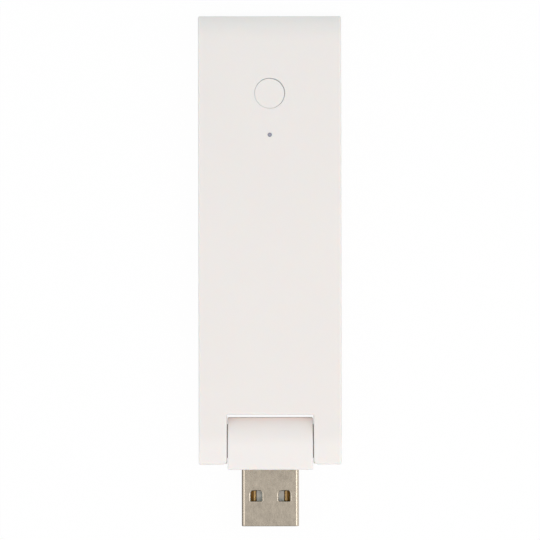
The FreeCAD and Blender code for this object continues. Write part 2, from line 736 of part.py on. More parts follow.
def make_head_half(label, turned):
    """Half shell of the plug head: flat block, crowned towards the edge that swings in the notch."""
    half = head_body(label)
    if turned:
        half.Placement.Rotation = FreeCAD.Rotation(Vector(0, 1, 0), 180)
    profile = new_sketch(half, "profile", "YZ_Plane")
    corners = [
        (HEAD_END, "0"),
        ("Sizes.head_top_reach", "0"),
        ("Sizes.head_top_reach", CROWN_EDGE),
        (CROWN_START, HEAD_RISE),
        (HEAD_END, HEAD_RISE),
    ]
    draw_profile(profile, corners, arcs={2: ("Sizes.head_crown_radius", CROWN_START, CROWN_MIDDLE)})
    pad(half, "profile", profile, f"{HEAD_HALF} * 2", symmetric=True)
    head_end = value_of(HEAD_END)
    face = value_of(HEAD_RISE)
    side = value_of(HEAD_HALF)
    top = value_of("Sizes.head_top_reach")

    def outer_edge(edge):
        box = edge.BoundBox
        end_line = near(box.YMax, head_end) and near(box.ZMin, face)
        end_corner = is_upright(edge) and near(box.YMin, head_end)
        flank = near(abs(box.XMin), side) and near(box.XMin, box.XMax) and box.ZMax > 1e-3
        return end_line or end_corner or flank

    def crown_edge(edge):
        box = edge.BoundBox
        return near(box.YMin, top) and near(box.ZMin, box.ZMax) and box.ZMin > 1e-3

    round_edges(half, "crown_edge", crown_edge, "Sizes.head_top_round")
    round_edges(half, "edges", outer_edge, "Sizes.head_edge_round")
    socket = new_sketch(half, "socket", "XZ_Plane", f"0 - {HEAD_END}")
    reach = "(Sizes.plug_width / 2)"
    rise = "(Sizes.plug_height / 2)"
    bend = "Sizes.plug_corner"
    corners = [
        (f"0 - {reach}", "0"),
        (reach, "0"),
        (reach, f"{rise} - {bend}"),
        (f"{reach} - {bend}", rise),
        (f"0 - {reach} + {bend}", rise),
        (f"0 - {reach}", f"{rise} - {bend}"),
    ]
    arcs = {
        2: (bend, f"{reach} - {bend}", f"{rise} - {bend}"),
        4: (bend, f"0 - {reach} + {bend}", f"{rise} - {bend}"),
    }
    draw_profile(socket, corners, arcs)
    pocket(half, "socket", socket, "Sizes.plug_depth")
    cavity = new_sketch(half, "cavity", "XY_Plane")
    draw_rectangle(cavity, f"0 - {CAVITY_HALF}", CAVITY_HALF, SHELL_BACK, "Sizes.cavity_reach")
    pocket(half, "cavity", cavity, "Sizes.cavity_depth", reverse=True)
    bore = new_sketch(half, "pin_holes", "YZ_Plane")
    draw_circle(bore, "0", "0", "Sizes.shaft_radius")
    pocket(half, "pin_holes", bore, f"{HEAD_HALF} * 2", symmetric=True)
    for name, start in (("left", f"0 - {FLANGE_OUT}"), ("right", FLANGE_IN)):
        seat = new_sketch(half, f"{name}_flange_seat", "YZ_Plane", start)
        draw_flange(seat)
        pocket(half, f"{name}_flange_seat", seat, "Sizes.flange_thick", reverse=True)
    add_head_pegs(half, turned)
    return half


def draw_flange(sketch):
    """Round flange with two flats, so that the pin turns with the head."""
    flat = "Sizes.flange_flat"
    corner = "sqrt(Sizes.flange_radius ^ 2 - Sizes.flange_flat ^ 2)"
    radius = "Sizes.flange_radius"
    corners = [
        (f"0 - {flat}", f"0 - {corner}"),
        ("0", f"0 - {radius}"),
        (flat, f"0 - {corner}"),
        (flat, corner),
        ("0", radius),
        (f"0 - {flat}", corner),
    ]
    draw_profile(sketch, corners, arcs={side: (radius, "0", "0") for side in (0, 1, 3, 4)})


def add_head_pegs(half, turned):
    """Locating pegs on the rear half and their holes in the front half."""
    spots = new_sketch(half, "pegs", "XY_Plane")
    middle = f"((Sizes.plug_width / 2 + {HEAD_HALF}) / 2)"
    radius = "Sizes.peg_radius" if turned else "(Sizes.peg_radius + Sizes.peg_play)"
    for x in (f"0 - {middle}", middle):
        draw_circle(spots, x, f"({HEAD_END} + Sizes.plug_depth / 2)", radius)
    if turned:
        pad(half, "pegs", spots, "Sizes.peg_height", reverse=True)
    else:
        pocket(half, "pegs", spots, "Sizes.peg_height + Sizes.peg_play", reverse=True)


def make_hinge_pin(side, sign, hollow):
    """Stepped pin: flange in the head, shaft through the ear, groove for its clip."""
    pin = head_body(f"hinge_pin_{side}")
    inner = "Sizes.pin_bore_radius" if hollow else "0"
    shaft = "Sizes.shaft_radius"
    groove = "(Sizes.shaft_radius - Sizes.groove_depth)"
    steps = [
        (FLANGE_OUT, inner),
        (FLANGE_OUT, shaft),
        (CLIP_SEAT, shaft),
        (CLIP_SEAT, groove),
        (f"({CLIP_SEAT} + Sizes.clip_thick)", groove),
        (f"({CLIP_SEAT} + Sizes.clip_thick)", shaft),
        (PIN_END, shaft),
        (PIN_END, inner),
    ]
    if sign < 0:
        steps = [(f"0 - {x}", radius) for x, radius in steps]
    profile = new_sketch(pin, "profile", "XY_Plane")
    draw_profile(profile, steps)
    revolve(pin, "shaft", profile, "H_Axis")
    start = FLANGE_IN if sign > 0 else f"(0 - {FLANGE_OUT})"
    flange = new_sketch(pin, "flange", "YZ_Plane", start)
    draw_flange(flange)
    if hollow:
        draw_circle(flange, "0", "0", inner)
    pad(pin, "flange", flange, "Sizes.flange_thick")
    return pin


def make_ring(label, start, thickness, outer, inner):
    """Flat ring about the hinge line."""
    ring = head_body(label)
    outline = new_sketch(ring, "outline", "YZ_Plane", start)
    draw_circle(outline, "0", "0", outer)
    draw_circle(outline, "0", "0", inner)
    pad(ring, "outline", outline, thickness)
    return ring


def make_spring_washer(side, sign):
    """Cone of spring sheet between the ear and the clip."""
    washer = head_body(f"spring_washer_{side}")
    inner = "Sizes.shaft_radius + Sizes.bearing_play"
    outer = "Sizes.spring_radius"
    corners = [
        (SPRING_SEAT, outer),
        (f"({SPRING_SEAT} + Sizes.spring_sheet)", outer),
        (CLIP_SEAT, inner),
        (f"({CLIP_SEAT} - Sizes.spring_sheet)", inner),
    ]
    if sign < 0:
        corners = [(f"0 - {x}", radius) for x, radius in corners]
    profile = new_sketch(washer, "profile", "XY_Plane")
    draw_profile(profile, corners)
    revolve(washer, "cone", profile, "H_Axis")
    return washer


def make_clip(side, sign):
    """Open ring that snaps into the groove of a pin."""
    start = CLIP_SEAT if sign > 0 else f"(0 - {CLIP_SEAT} - Sizes.clip_thick)"
    seat = "Sizes.shaft_radius - Sizes.groove_depth"
    clip = make_ring(f"retaining_clip_{side}", start, "Sizes.clip_thick", "Sizes.clip_radius", seat)
    mouth = new_sketch(clip, "mouth", "YZ_Plane", start)
    half = "(Sizes.clip_mouth / 2)"
    draw_rectangle(mouth, f"0 - {half}", half, "0", "(Sizes.clip_radius + 1)")
    pocket(clip, "mouth", mouth, "Sizes.clip_thick", reverse=True)
    return clip


# USB plug


def draw_shell_section(sketch, inset):
    """Rounded rectangle of the plug, moved inwards."""
    reach = f"(Sizes.plug_width / 2 - {inset})"
    rise = f"(Sizes.plug_height / 2 - {inset})"
    bend = f"(Sizes.plug_corner - {inset})"
    near_x = f"({reach} - {bend})"
    near_z = f"({rise} - {bend})"
    corners = []
    arcs = {}
    for sign_x, sign_z, upright_first in ((1, -1, False), (1, 1, True), (-1, 1, False), (-1, -1, True)):
        flat = (f"{sign_x} * {near_x}", f"{sign_z} * {rise}")
        upright = (f"{sign_x} * {reach}", f"{sign_z} * {near_z}")
        arcs[len(corners)] = (bend, f"{sign_x} * {near_x}", f"{sign_z} * {near_z}")
        corners += [upright, flat] if upright_first else [flat, upright]
    draw_profile(sketch, corners, arcs)


def make_usb_shell():
    """Rolled sheet metal tube with two windows in each broad face and a seam along its back."""
    shell = head_body("usb_shell")
    section = new_sketch(shell, "section", "XZ_Plane", f"0 - {SHELL_BACK}")
    draw_shell_section(section, "0")
    draw_shell_section(section, "Sizes.plug_sheet")
    length = "Sizes.plug_reach + Sizes.plug_depth"
    pad(shell, "section", section, length)
    tip = value_of(PLUG_TIP)
    outer = value_of("Sizes.plug_height / 2 - Sizes.plug_sheet / 2")
    flank = value_of("Sizes.plug_width / 2 - Sizes.plug_sheet / 2")

    def tip_rim(edge):
        box = edge.BoundBox
        outside = max(abs(box.ZMin), abs(box.ZMax)) > outer or max(abs(box.XMin), abs(box.XMax)) > flank
        return near(box.YMin, tip) and near(box.YMax, tip) and outside

    round_edges(shell, "tip_rim", tip_rim, "Sizes.plug_tip_round")
    windows = new_sketch(shell, "windows", "XY_Plane")
    for sign in (-1, 1):
        draw_window(windows, sign)
    pocket(shell, "windows", windows, "Sizes.plug_height + 1", symmetric=True)
    low = value_of(f"{PLUG_TIP} + Sizes.window_from_tip")
    high = value_of(f"{PLUG_TIP} + Sizes.window_from_tip + Sizes.window_length")
    face = value_of("Sizes.plug_height / 2")

    def window_rim(edge):
        box = edge.BoundBox
        on_face = near(box.ZMin, box.ZMax) and near(abs(box.ZMin), face)
        return on_face and box.YMin > low - 1e-3 and box.YMax < high + 1e-3

    round_edges(shell, "window_rims", window_rim, "Sizes.window_rim_round")
    seam = new_sketch(shell, "seam", "XY_Plane", "0 - Sizes.plug_height / 2")
    slit = "Sizes.seam_gap / 2"
    draw_rectangle(seam, f"0 - {slit}", slit, f"{PLUG_TIP} - 1", f"{SHELL_BACK} + 1")
    pocket(shell, "seam", seam, "Sizes.plug_sheet", reverse=True)
    return shell


def draw_window(sketch, sign):
    """Window with wide roundings on the head side and tight ones on the tip side."""
    centre = f"({sign} * Sizes.window_offset)"
    left = f"({centre} - Sizes.window_width / 2)"
    right = f"({centre} + Sizes.window_width / 2)"
    low = f"({PLUG_TIP} + Sizes.window_from_tip)"
    high = f"({low} + Sizes.window_length)"
    bend = "Sizes.window_round"
    nick = "Sizes.window_tip_round"
    corners = [
        (f"{left} + {nick}", low),
        (f"{right} - {nick}", low),
        (right, f"{low} + {nick}"),
        (right, f"{high} - {bend}"),
        (f"{right} - {bend}", high),
        (f"{left} + {bend}", high),
        (left, f"{high} - {bend}"),
        (left, f"{low} + {nick}"),
    ]
    arcs = {
        1: (nick, f"{right} - {nick}", f"{low} + {nick}"),
        3: (bend, f"{right} - {bend}", f"{high} - {bend}"),
        5: (bend, f"{left} + {bend}", f"{high} - {bend}"),
        7: (nick, f"{left} + {nick}", f"{low} + {nick}"),
    }
    draw_profile(sketch, corners, arcs)


def contact_places():
    """Name and place of each contact across the plug."""
    inner = "Sizes.contact_inner"
    outer = "Sizes.contact_outer"
    return {
        "power": outer,
        "data_minus": inner,
        "data_plus": f"(0 - {inner})",
        "ground": f"(0 - {outer})",
    }


def make_usb_insulator():
    """Tongue in the back half of the shell, grooved for the contacts."""
    insulator = head_body("usb_insulator")
    low = "(Sizes.plug_sheet - Sizes.plug_height / 2)"
    high = "(0 - Sizes.insulator_top_gap)"
    front = f"({PLUG_TIP} + Sizes.insulator_recess)"
    nose = "Sizes.insulator_nose"
    side = new_sketch(insulator, "side", "YZ_Plane")
    corners = [
        (front, low),
        (SHELL_BACK, low),
        (SHELL_BACK, high),
        (f"({front} + {nose})", high),
        (front, f"({high} - {nose})"),
    ]
    draw_profile(side, corners)
    pad(insulator, "side", side, "Sizes.plug_width - Sizes.plug_corner * 2", symmetric=True)
    grooves = new_sketch(insulator, "grooves", "XY_Plane", "0 - Sizes.contact_thick")
    for x in contact_places().values():
        half = "Sizes.contact_width / 2"
        start = f"({PLUG_TIP} + Sizes.contact_from_tip)"
        draw_rectangle(grooves, f"{x} - {half}", f"{x} + {half}", start, f"{SHELL_BACK} + 1")
    pocket(insulator, "grooves", grooves, "Sizes.contact_thick", reverse=True)
    return insulator


def make_contact(name, x):
    """Sprung strip with a crowned face in its groove, with a ramped nose and a tail for its wire."""
    contact = head_body(f"contact_{name}")
    start = f"({PLUG_TIP} + Sizes.contact_from_tip)"
    tail = f"({SHELL_BACK} + Sizes.contact_tail)"
    half = "(Sizes.contact_width / 2)"
    low = "(0 - Sizes.contact_thick)"
    shoulder = "(0 - Sizes.contact_crown)"
    crown = f"(({half} ^ 2 + Sizes.contact_crown ^ 2) / (2 * Sizes.contact_crown))"
    section = new_sketch(contact, "section", "XZ_Plane", f"0 - {tail}")
    left = f"{x} - {half}"
    right = f"{x} + {half}"
    corners = [(left, low), (right, low), (right, shoulder), (left, shoulder)]
    draw_profile(section, corners, arcs={2: (crown, x, f"(0 - {crown})")})
    pad(contact, "section", section, f"{tail} - {start}")
    nose = new_sketch(contact, "nose", "YZ_Plane", x)
    nose_top = "(0 - Sizes.contact_thick + Sizes.contact_lip)"
    draw_profile(nose, [(start, nose_top), (f"({start} + Sizes.contact_nose)", "0"), (start, "0")])
    pocket(contact, "nose", nose, "Sizes.contact_width", symmetric=True)
    return contact


# Wires and cable


def make_wire(name, x, lane, over):
    """Insulated wire from the end of the cable to a contact's tail."""
    wire = head_body(f"wire_{name}")
    level = "Sizes.wire_radius" if over else "(0 - Sizes.contact_thick - Sizes.wire_radius)"
    start_x = CAVITY_HALF
    start_y = f"({lane} * Sizes.wire_lane)"
    bend = "Sizes.wire_bend"
    end_y = SHELL_BACK
    route = new_sketch(wire, "route", "XY_Plane", level)
    points = [(start_x, start_y), (f"{x} + {bend}", start_y), (x, f"{start_y} - {bend}"), (x, end_y)]
    draw_profile(route, points, arcs={1: (bend, f"{x} + {bend}", f"{start_y} - {bend}")}, closed=False)
    section = new_sketch(wire, "section", "YZ_Plane", start_x)
    draw_circle(section, start_y, level, "Sizes.wire_radius")
    sweep(wire, section, route)
    return wire


def sweep(body, section, route):
    """Round section carried along a route; its volume has to be section times length."""
    doc.recompute()
    pipe = body.newObject("PartDesign::AdditivePipe", f"{body.Name}_pipe")
    pipe.Profile = section
    pipe.Spine = (route, [])
    doc.recompute()
    expected = section.Shape.Edges[0].Curve.Radius ** 2 * math.pi * route.Shape.Length
    if abs(pipe.Shape.Volume / expected - 1) > 0.01:
        raise RuntimeError(f"{body.Label} is not as long as its route")


def make_hinge_cable():
    """Jacketed cable: along the hinge line, through the hollow pin, then up the ear to its plug."""
    cable = head_body("hinge_cable")
    run_x = f"(({PIN_END} + {INNER_HALF}) / 2)"
    turn_y = f"({CABLE_Y} - {PIVOT_Y})"
    first = "Sizes.cable_first_bend"
    second = "Sizes.cable_second_bend"
    start_x = CAVITY_HALF
    end_x = NECK_HALF
    route = new_sketch(cable, "route", "XY_Plane")
    points = [
        (start_x, "0"),
        (f"{run_x} - {first}", "0"),
        (run_x, first),
        (run_x, f"{turn_y} - {second}"),
        (f"{run_x} - {second}", turn_y),
        (end_x, turn_y),
    ]
    arcs = {
        1: (first, f"{run_x} - {first}", first),
        3: (second, f"{run_x} - {second}", f"{turn_y} - {second}"),
    }
    draw_profile(route, points, arcs, closed=False)
    section = new_sketch(cable, "section", "YZ_Plane", start_x)
    draw_circle(section, "0", "0", "Sizes.cable_radius")
    sweep(cable, section, route)
    print("cable bends", value_of(first), value_of(second), "wire bend", value_of("Sizes.wire_bend"))
    return cable


# Board and what stands on it


def make_main_board():
    """Board with a neck beside the hinge, so that the cable passes its corners."""
    board = new_body("main_board")
    side = BOARD_SIDE
    top = f"({BODY_TOP} - Sizes.side_wall - Sizes.board_end_gap)"
    low = f"({NOTCH_TOP} + Sizes.hinge_wall + Sizes.board_end_gap)"
    step = f"({low} + Sizes.board_neck_length)"
    neck = NECK_HALF
    corner = "Sizes.board_corner"
    right = [
        (neck, low),
        (neck, step),
        (side, f"{step} + {corner}"),
        (side, f"{top} - {corner}"),
        (f"{side} - {corner}", top),
    ]
    left = [(f"0 - ({x})", y) for x, y in reversed(right)]
    outline = new_sketch(board, "outline", "XY_Plane", "Sizes.board_height")
    draw_profile(outline, right + left)
    pad(board, "outline", outline, "Sizes.board_thick")
    holes = new_sketch(board, "screw_holes", "XY_Plane", "Sizes.board_height")
    for x, y in boss_spots():
        draw_circle(holes, x, y, "Sizes.screw_shank_radius + Sizes.screw_hole_play")
    pocket(board, "screw_holes", holes, "Sizes.board_thick", reverse=True)
    return board


def make_board_screws():
    """Four equal screws, heads against the back of the board."""
    screws = []
    for number, (x, y) in enumerate(boss_spots(), start=1):
        head = doc.addObject("Part::Cylinder", f"screw_head_{number}")
        head.setExpression("Radius", "Sizes.screw_head_radius")
        head.setExpression("Height", "Sizes.screw_head_height")
        shank = doc.addObject("Part::Cylinder", f"screw_shank_{number}")
        shank.setExpression("Radius", "Sizes.screw_shank_radius")
        shank.setExpression("Height", "Sizes.screw_length")
        slot = doc.addObject("Part::Box", f"screw_slot_{number}")
        level = "(Sizes.board_height - Sizes.screw_head_height)"
        for solid, z in ((head, level), (shank, "Sizes.board_height")):
            solid.setExpression(".Placement.Base.x", x)
            solid.setExpression(".Placement.Base.y", y)
            solid.setExpression(".Placement.Base.z", z)
        corner = (f"{x} - Sizes.screw_head_radius", f"{y} - Sizes.screw_slot_width / 2", level)
        slot_length = "Sizes.screw_head_radius * 2"
        bind_box(slot, corner, (slot_length, "Sizes.screw_slot_width", "Sizes.screw_slot_depth"))
        whole = doc.addObject("Part::Fuse", f"screw_blank_{number}")
        whole.Base = head
        whole.Tool = shank
        screw = doc.addObject("Part::Cut", f"screw_{number}")
        screw.Base = whole
        screw.Tool = slot
        screws.append(screw)
    return group("board_screws", screws)


def group(label, members):
    """One node of equal, separate solids."""
    together = doc.addObject("Part::Compound", label)
    together.Label = label
    together.Links = members
    pieces.append(together)
    return together


def make_block(label, x, y, base, length, width, height):
    """Block that is a piece of its own."""
    box = block(label, x, y, base, length, width, height)
    pieces.append(box)
    return box


def make_shield(name, x, y, width, length):
    """Open can of thin sheet over a chip, with a grid of holes in its lid."""
    shield = new_body(f"{name}_shield", (x, y, BOARD_TOP))
    outline = new_sketch(shield, "outline", "XY_Plane")
    half_x = f"({width} / 2)"
    half_y = f"({length} / 2)"
    draw_rectangle(outline, f"0 - {half_x}", half_x, f"0 - {half_y}", half_y)
    pad(shield, "outline", outline, "Sizes.shield_height")
    hollow = new_sketch(shield, "hollow", "XY_Plane")
    room_x = f"({half_x} - Sizes.shield_sheet)"
    room_y = f"({half_y} - Sizes.shield_sheet)"
    draw_rectangle(hollow, f"0 - {room_x}", room_x, f"0 - {room_y}", room_y)
    pocket(shield, "hollow", hollow, "Sizes.shield_height - Sizes.shield_sheet", reverse=True)
    holes = new_sketch(shield, "holes", "XY_Plane", "Sizes.shield_height - Sizes.shield_sheet")
    for column in (-1, 0, 1):
        for line in (-1, 0, 1):
            spot = (f"{column} * Sizes.shield_hole_pitch", f"{line} * Sizes.shield_hole_pitch")
            draw_circle(holes, *spot, "Sizes.shield_hole_radius")
    pocket(shield, "holes", holes, "Sizes.shield_sheet", reverse=True)
    return shield


def make_power_inductor():
    """Drum core: two square-edged flanges on a round waist."""
    place = (f"0 - Sizes.inductor_shift", f"{NOTCH_TOP} + Sizes.inductor_from_notch", BOARD_TOP)
    inductor = new_body("power_inductor", place)
    outer = "(Sizes.inductor_side / 2)"
    waist = "Sizes.inductor_waist"
    brim = "Sizes.inductor_flange_thick"
    height = "Sizes.inductor_height"
    profile = new_sketch(inductor, "profile", "XZ_Plane")
    corners = [
        ("0", "0"),
        (outer, "0"),
        (outer, brim),
        (waist, brim),
        (waist, f"({height} - {brim})"),
        (outer, f"({height} - {brim})"),
        (outer, height),
        ("0", height),
    ]
    draw_profile(profile, corners)
    revolve(inductor, "drum", profile, "V_Axis")
    return inductor


def make_small_parts():
    """Capacitors and resistors in columns beside the shields, and two clock crystals."""
    capacitors = []
    for number in range(8):
        y = f"({SHIELD_LOW} + ({number} + 1) * Sizes.small_part_pitch)"
        side = SMALL_PART_X if number % 2 else f"(0 - {SMALL_PART_X})"
        dims = ("Sizes.capacitor_width", "Sizes.capacitor_length", "Sizes.capacitor_height")
        capacitors.append(block(f"capacitor_{number + 1}", side, y, BOARD_TOP, *dims))
    group("capacitors", capacitors)
    resistors = []
    for number in range(8):
        y = f"({RADIO_LOW} + ({number} + 1) * Sizes.small_part_pitch / 2)"
        dims = ("Sizes.resistor_length", "Sizes.resistor_width", "Sizes.resistor_height")
        resistors.append(block(f"resistor_{number + 1}", f"0 - {SMALL_PART_X}", y, BOARD_TOP, *dims))
    group("resistors", resistors)
    dims = ("Sizes.crystal_width", "Sizes.crystal_length", "Sizes.crystal_height")
    beyond = "(Sizes.crystal_gap + Sizes.crystal_length / 2)"
    level = f"({RADIO_Y} + Sizes.radio_shield_length / 2 + {beyond})"
    make_block("radio_crystal", RADIO_X, level, BOARD_TOP, *dims)
    level = f"({RADIO_Y} + Sizes.memory_length / 2 + {beyond})"
    make_block("processor_crystal", MEMORY_X, level, BOARD_TOP, *dims)


def make_antenna(side, sign):
    """Stamped antenna: foot on the board, riser and a slotted plate."""
    antenna = new_body(f"antenna_{side}", (f"{sign} * {BOARD_SIDE} / 2", ANTENNA_Y, BOARD_TOP))
    sheet = "Sizes.antenna_sheet"
    rise = "Sizes.antenna_rise"
    profile = new_sketch(antenna, "profile", "YZ_Plane")
    corners = [
        ("0", "0"),
        ("0", rise),
        ("0 - Sizes.antenna_reach", rise),
        ("0 - Sizes.antenna_reach", f"({rise} - {sheet})"),
        (f"0 - {sheet}", f"({rise} - {sheet})"),
        (f"0 - {sheet}", sheet),
        ("0 - Sizes.antenna_foot", sheet),
        ("0 - Sizes.antenna_foot", "0"),
    ]
    draw_profile(profile, corners)
    pad(antenna, "profile", profile, "Sizes.antenna_width", symmetric=True)
    slots = new_sketch(antenna, "slots", "XY_Plane", f"{rise} - {sheet}")
    inner = "(Sizes.antenna_width / 2)"
    end = f"({inner} - Sizes.antenna_slot_length)"
    for number, direction in ((1, 1), (2, -1)):
        middle = f"(0 - Sizes.antenna_reach * {number} / 3)"
        low = f"{middle} - Sizes.antenna_slot_width / 2"
        high = f"{middle} + Sizes.antenna_slot_width / 2"
        edges = (end, inner) if direction > 0 else (f"0 - {inner}", f"0 - {end}")
        draw_rectangle(slots, *edges, low, high)
    pocket(antenna, "slots", slots, sheet, reverse=True)
    return antenna


def make_board_socket():
    """Header on the board, open towards the side where the cable plug goes in."""
    reach = f"({NECK_HALF} - Sizes.plug_housing_reach)"
    socket = new_body("board_socket", (f"{reach} - Sizes.socket_width", CABLE_Y, BOARD_TOP))
    outline = new_sketch(socket, "outline", "XY_Plane")
    half = "(Sizes.socket_length / 2)"
    draw_rectangle(outline, "0", "Sizes.socket_width", f"0 - {half}", half)
    pad(socket, "outline", outline, "Sizes.socket_height")
    wall = "Sizes.socket_wall"
    mouth = new_sketch(socket, "mouth", "YZ_Plane", wall)
    draw_rectangle(mouth, f"0 - {half} + {wall}", f"{half} - {wall}", wall, f"Sizes.socket_height - {wall}")
    pocket(socket, "mouth", mouth, f"Sizes.socket_width - {wall}", reverse=True)
    return socket


def make_cable_connector():
    """Plug housing on the end of the cable, seated in the header."""
    wall = "Sizes.socket_wall"
    gap = "Sizes.plug_housing_gap"
    inner = f"({NECK_HALF} - Sizes.plug_housing_reach - Sizes.socket_width + {wall})"
    housing = new_body("cable_connector", (inner, CABLE_Y, BOARD_TOP))
    length = f"({NECK_HALF} - {inner})"
    half = f"(Sizes.socket_length / 2 - {wall} - {gap})"
    base = new_sketch(housing, "base", "YZ_Plane")
    draw_rectangle(base, f"0 - {half}", half, wall, f"Sizes.socket_height - {wall} - {gap}")
    pad(housing, "base", base, length)
    step = new_sketch(housing, "step", "YZ_Plane", f"Sizes.socket_width - {wall} + {gap}")
    draw_rectangle(step, f"0 - {half}", half, "0", "Sizes.socket_height - Sizes.socket_wall")
    pad(housing, "step", step, f"{length} - Sizes.socket_width + {wall} - {gap}")
    return housing


# Push button, switch and light


def make_button_cap():
    """Round cap, flush with the front, with a retaining flange and a stem down to the switch."""
    shift = "(0 - Sizes.button_shift)"
    cap = new_body("button_cap", (shift, f"{BUTTON_Y} + {shift}", "0"))
    flange_top = f"({CEILING} - Sizes.button_flange_play)"
    flange_low = f"({flange_top} - Sizes.button_flange_thick)"
    stem_low = plunger_top()
    profile = new_sketch(cap, "profile", "XZ_Plane")
    rim = "Sizes.button_rim_round"
    top = "Sizes.body_thick"
    outer = "Sizes.button_cap_radius"
    corners = [
        ("0", stem_low),
        ("Sizes.button_stem_radius", stem_low),
        ("Sizes.button_stem_radius", flange_low),
        ("Sizes.button_flange_radius", flange_low),
        ("Sizes.button_flange_radius", flange_top),
        (outer, flange_top),
        (outer, f"{top} - {rim}"),
        (f"{outer} - {rim}", top),
        ("0", top),
    ]
    draw_profile(profile, corners, arcs={6: (rim, f"{outer} - {rim}", f"{top} - {rim}")})
    revolve(cap, "cap", profile, "V_Axis")
    return cap


def plunger_top():
    return f"({BOARD_TOP} + Sizes.switch_base_height + Sizes.switch_plate_thick + Sizes.plunger_rise)"


def switch_body(label):
    """Body whose own origin is the middle of the switch, on the board."""
    return new_body(label, ("0", BUTTON_Y, BOARD_TOP))


def make_switch():
    """Tact switch: base with a well, sprung dome, plunger and cover plate."""
    half = "(Sizes.switch_side / 2)"
    base = switch_body("switch_base")
    outline = new_sketch(base, "outline", "XY_Plane")
    draw_rectangle(outline, f"0 - {half}", half, f"0 - {half}", half)
    pad(base, "outline", outline, "Sizes.switch_base_height")
    well = new_sketch(base, "well", "XY_Plane", "Sizes.switch_floor")
    draw_circle(well, "0", "0", "Sizes.switch_well_radius")
    pocket(base, "well", well, "Sizes.switch_base_height - Sizes.switch_floor", reverse=True)

    plate = switch_body("switch_cover_plate")
    outline = new_sketch(plate, "outline", "XY_Plane", "Sizes.switch_base_height")
    draw_rectangle(outline, f"0 - {half}", half, f"0 - {half}", half)
    draw_circle(outline, "0", "0", "Sizes.plunger_radius + Sizes.plunger_play")
    pad(plate, "outline", outline, "Sizes.switch_plate_thick")

    plunger = switch_body("switch_plunger")
    profile = new_sketch(plunger, "profile", "XZ_Plane")
    low = "(Sizes.switch_floor + Sizes.dome_height)"
    corners = [
        ("0", low),
        ("Sizes.plunger_flange_radius", low),
        ("Sizes.plunger_flange_radius", "Sizes.switch_base_height"),
        ("Sizes.plunger_radius", "Sizes.switch_base_height"),
        ("Sizes.plunger_radius", f"{plunger_top()} - {BOARD_TOP}"),
        ("0", f"{plunger_top()} - {BOARD_TOP}"),
    ]
    draw_profile(profile, corners)
    revolve(plunger, "plunger", profile, "V_Axis")
    make_switch_dome()


def make_switch_dome():
    """Snap dome: thin shell of a sphere standing on the floor of the well."""
    dome = switch_body("switch_dome")
    span = "Sizes.dome_radius"
    height = "Sizes.dome_height"
    sheet = "Sizes.dome_sheet"
    ball = f"(({span} ^ 2 + {height} ^ 2) / (2 * {height}))"
    centre = f"(Sizes.switch_floor + {height} - {ball})"
    hollow = f"({ball} - {sheet})"
    inner_span = f"sqrt({hollow} ^ 2 - ({ball} - {height}) ^ 2)"
    profile = new_sketch(dome, "profile", "XZ_Plane")
    corners = [
        (span, "Sizes.switch_floor"),
        ("0", f"Sizes.switch_floor + {height}"),
        ("0", f"Sizes.switch_floor + {height} - {sheet}"),
        (inner_span, "Sizes.switch_floor"),
    ]
    draw_profile(profile, corners, arcs={0: (ball, "0", centre), 2: (hollow, "0", centre)})
    revolve(dome, "dome", profile, "V_Axis")


def make_light():
    """Status light on the board and the clear guide that takes it to the front face."""
    dims = ("Sizes.led_length", "Sizes.led_width", "Sizes.led_height")
    make_block("status_led", "0", LIGHT_Y, BOARD_TOP, *dims)
    guide = new_body("light_guide", ("0", LIGHT_Y, "0"))
    low = f"({BOARD_TOP} + Sizes.led_height + Sizes.light_gap)"
    brim_low = f"({CEILING} - Sizes.light_flange_thick)"
    tip = "(Sizes.light_hole_radius - Sizes.light_tip_play)"
    top = "(Sizes.body_thick - Sizes.light_recess)"
    corners = [
        ("0", low),
        ("Sizes.light_rod_radius", low),
        ("Sizes.light_rod_radius", brim_low),
        ("Sizes.light_flange_radius", brim_low),
        ("Sizes.light_flange_radius", CEILING),
        (tip, CEILING),
        (tip, top),
        ("0", top),
    ]
    profile = new_sketch(guide, "profile", "XZ_Plane")
    draw_profile(profile, corners)
    revolve(guide, "guide", profile, "V_Axis")


def make_chips():
    """Processor, radio and memory with their shields, and the power parts."""
    width, length = "Sizes.processor_shield_width", "Sizes.processor_shield_length"
    make_shield("processor", "0", PROCESSOR_Y, width, length)
    side = "Sizes.processor_side"
    make_block("processor_chip", "0", PROCESSOR_Y, BOARD_TOP, side, side, "Sizes.processor_height")
    make_shield("radio", RADIO_X, RADIO_Y, "Sizes.radio_shield_width", "Sizes.radio_shield_length")
    side = "Sizes.radio_side"
    make_block("radio_chip", RADIO_X, RADIO_Y, BOARD_TOP, side, side, "Sizes.radio_height")
    dims = ("Sizes.memory_width", "Sizes.memory_length", "Sizes.memory_height")
    make_block("memory_chip", MEMORY_X, RADIO_Y, BOARD_TOP, *dims)
    side = "Sizes.regulator_side"
    level = f"({NOTCH_TOP} + Sizes.regulator_from_notch)"
    regulator_x = f"(Sizes.regulator_inset - {NECK_HALF})"
    make_block("voltage_regulator", regulator_x, level, BOARD_TOP, side, side, "Sizes.regulator_height")
    height = "Sizes.board_height - Sizes.rear_skin"
    side = "Sizes.pad_side"
    make_block("thermal_pad", "0", PROCESSOR_Y, "Sizes.rear_skin", side, side, height)


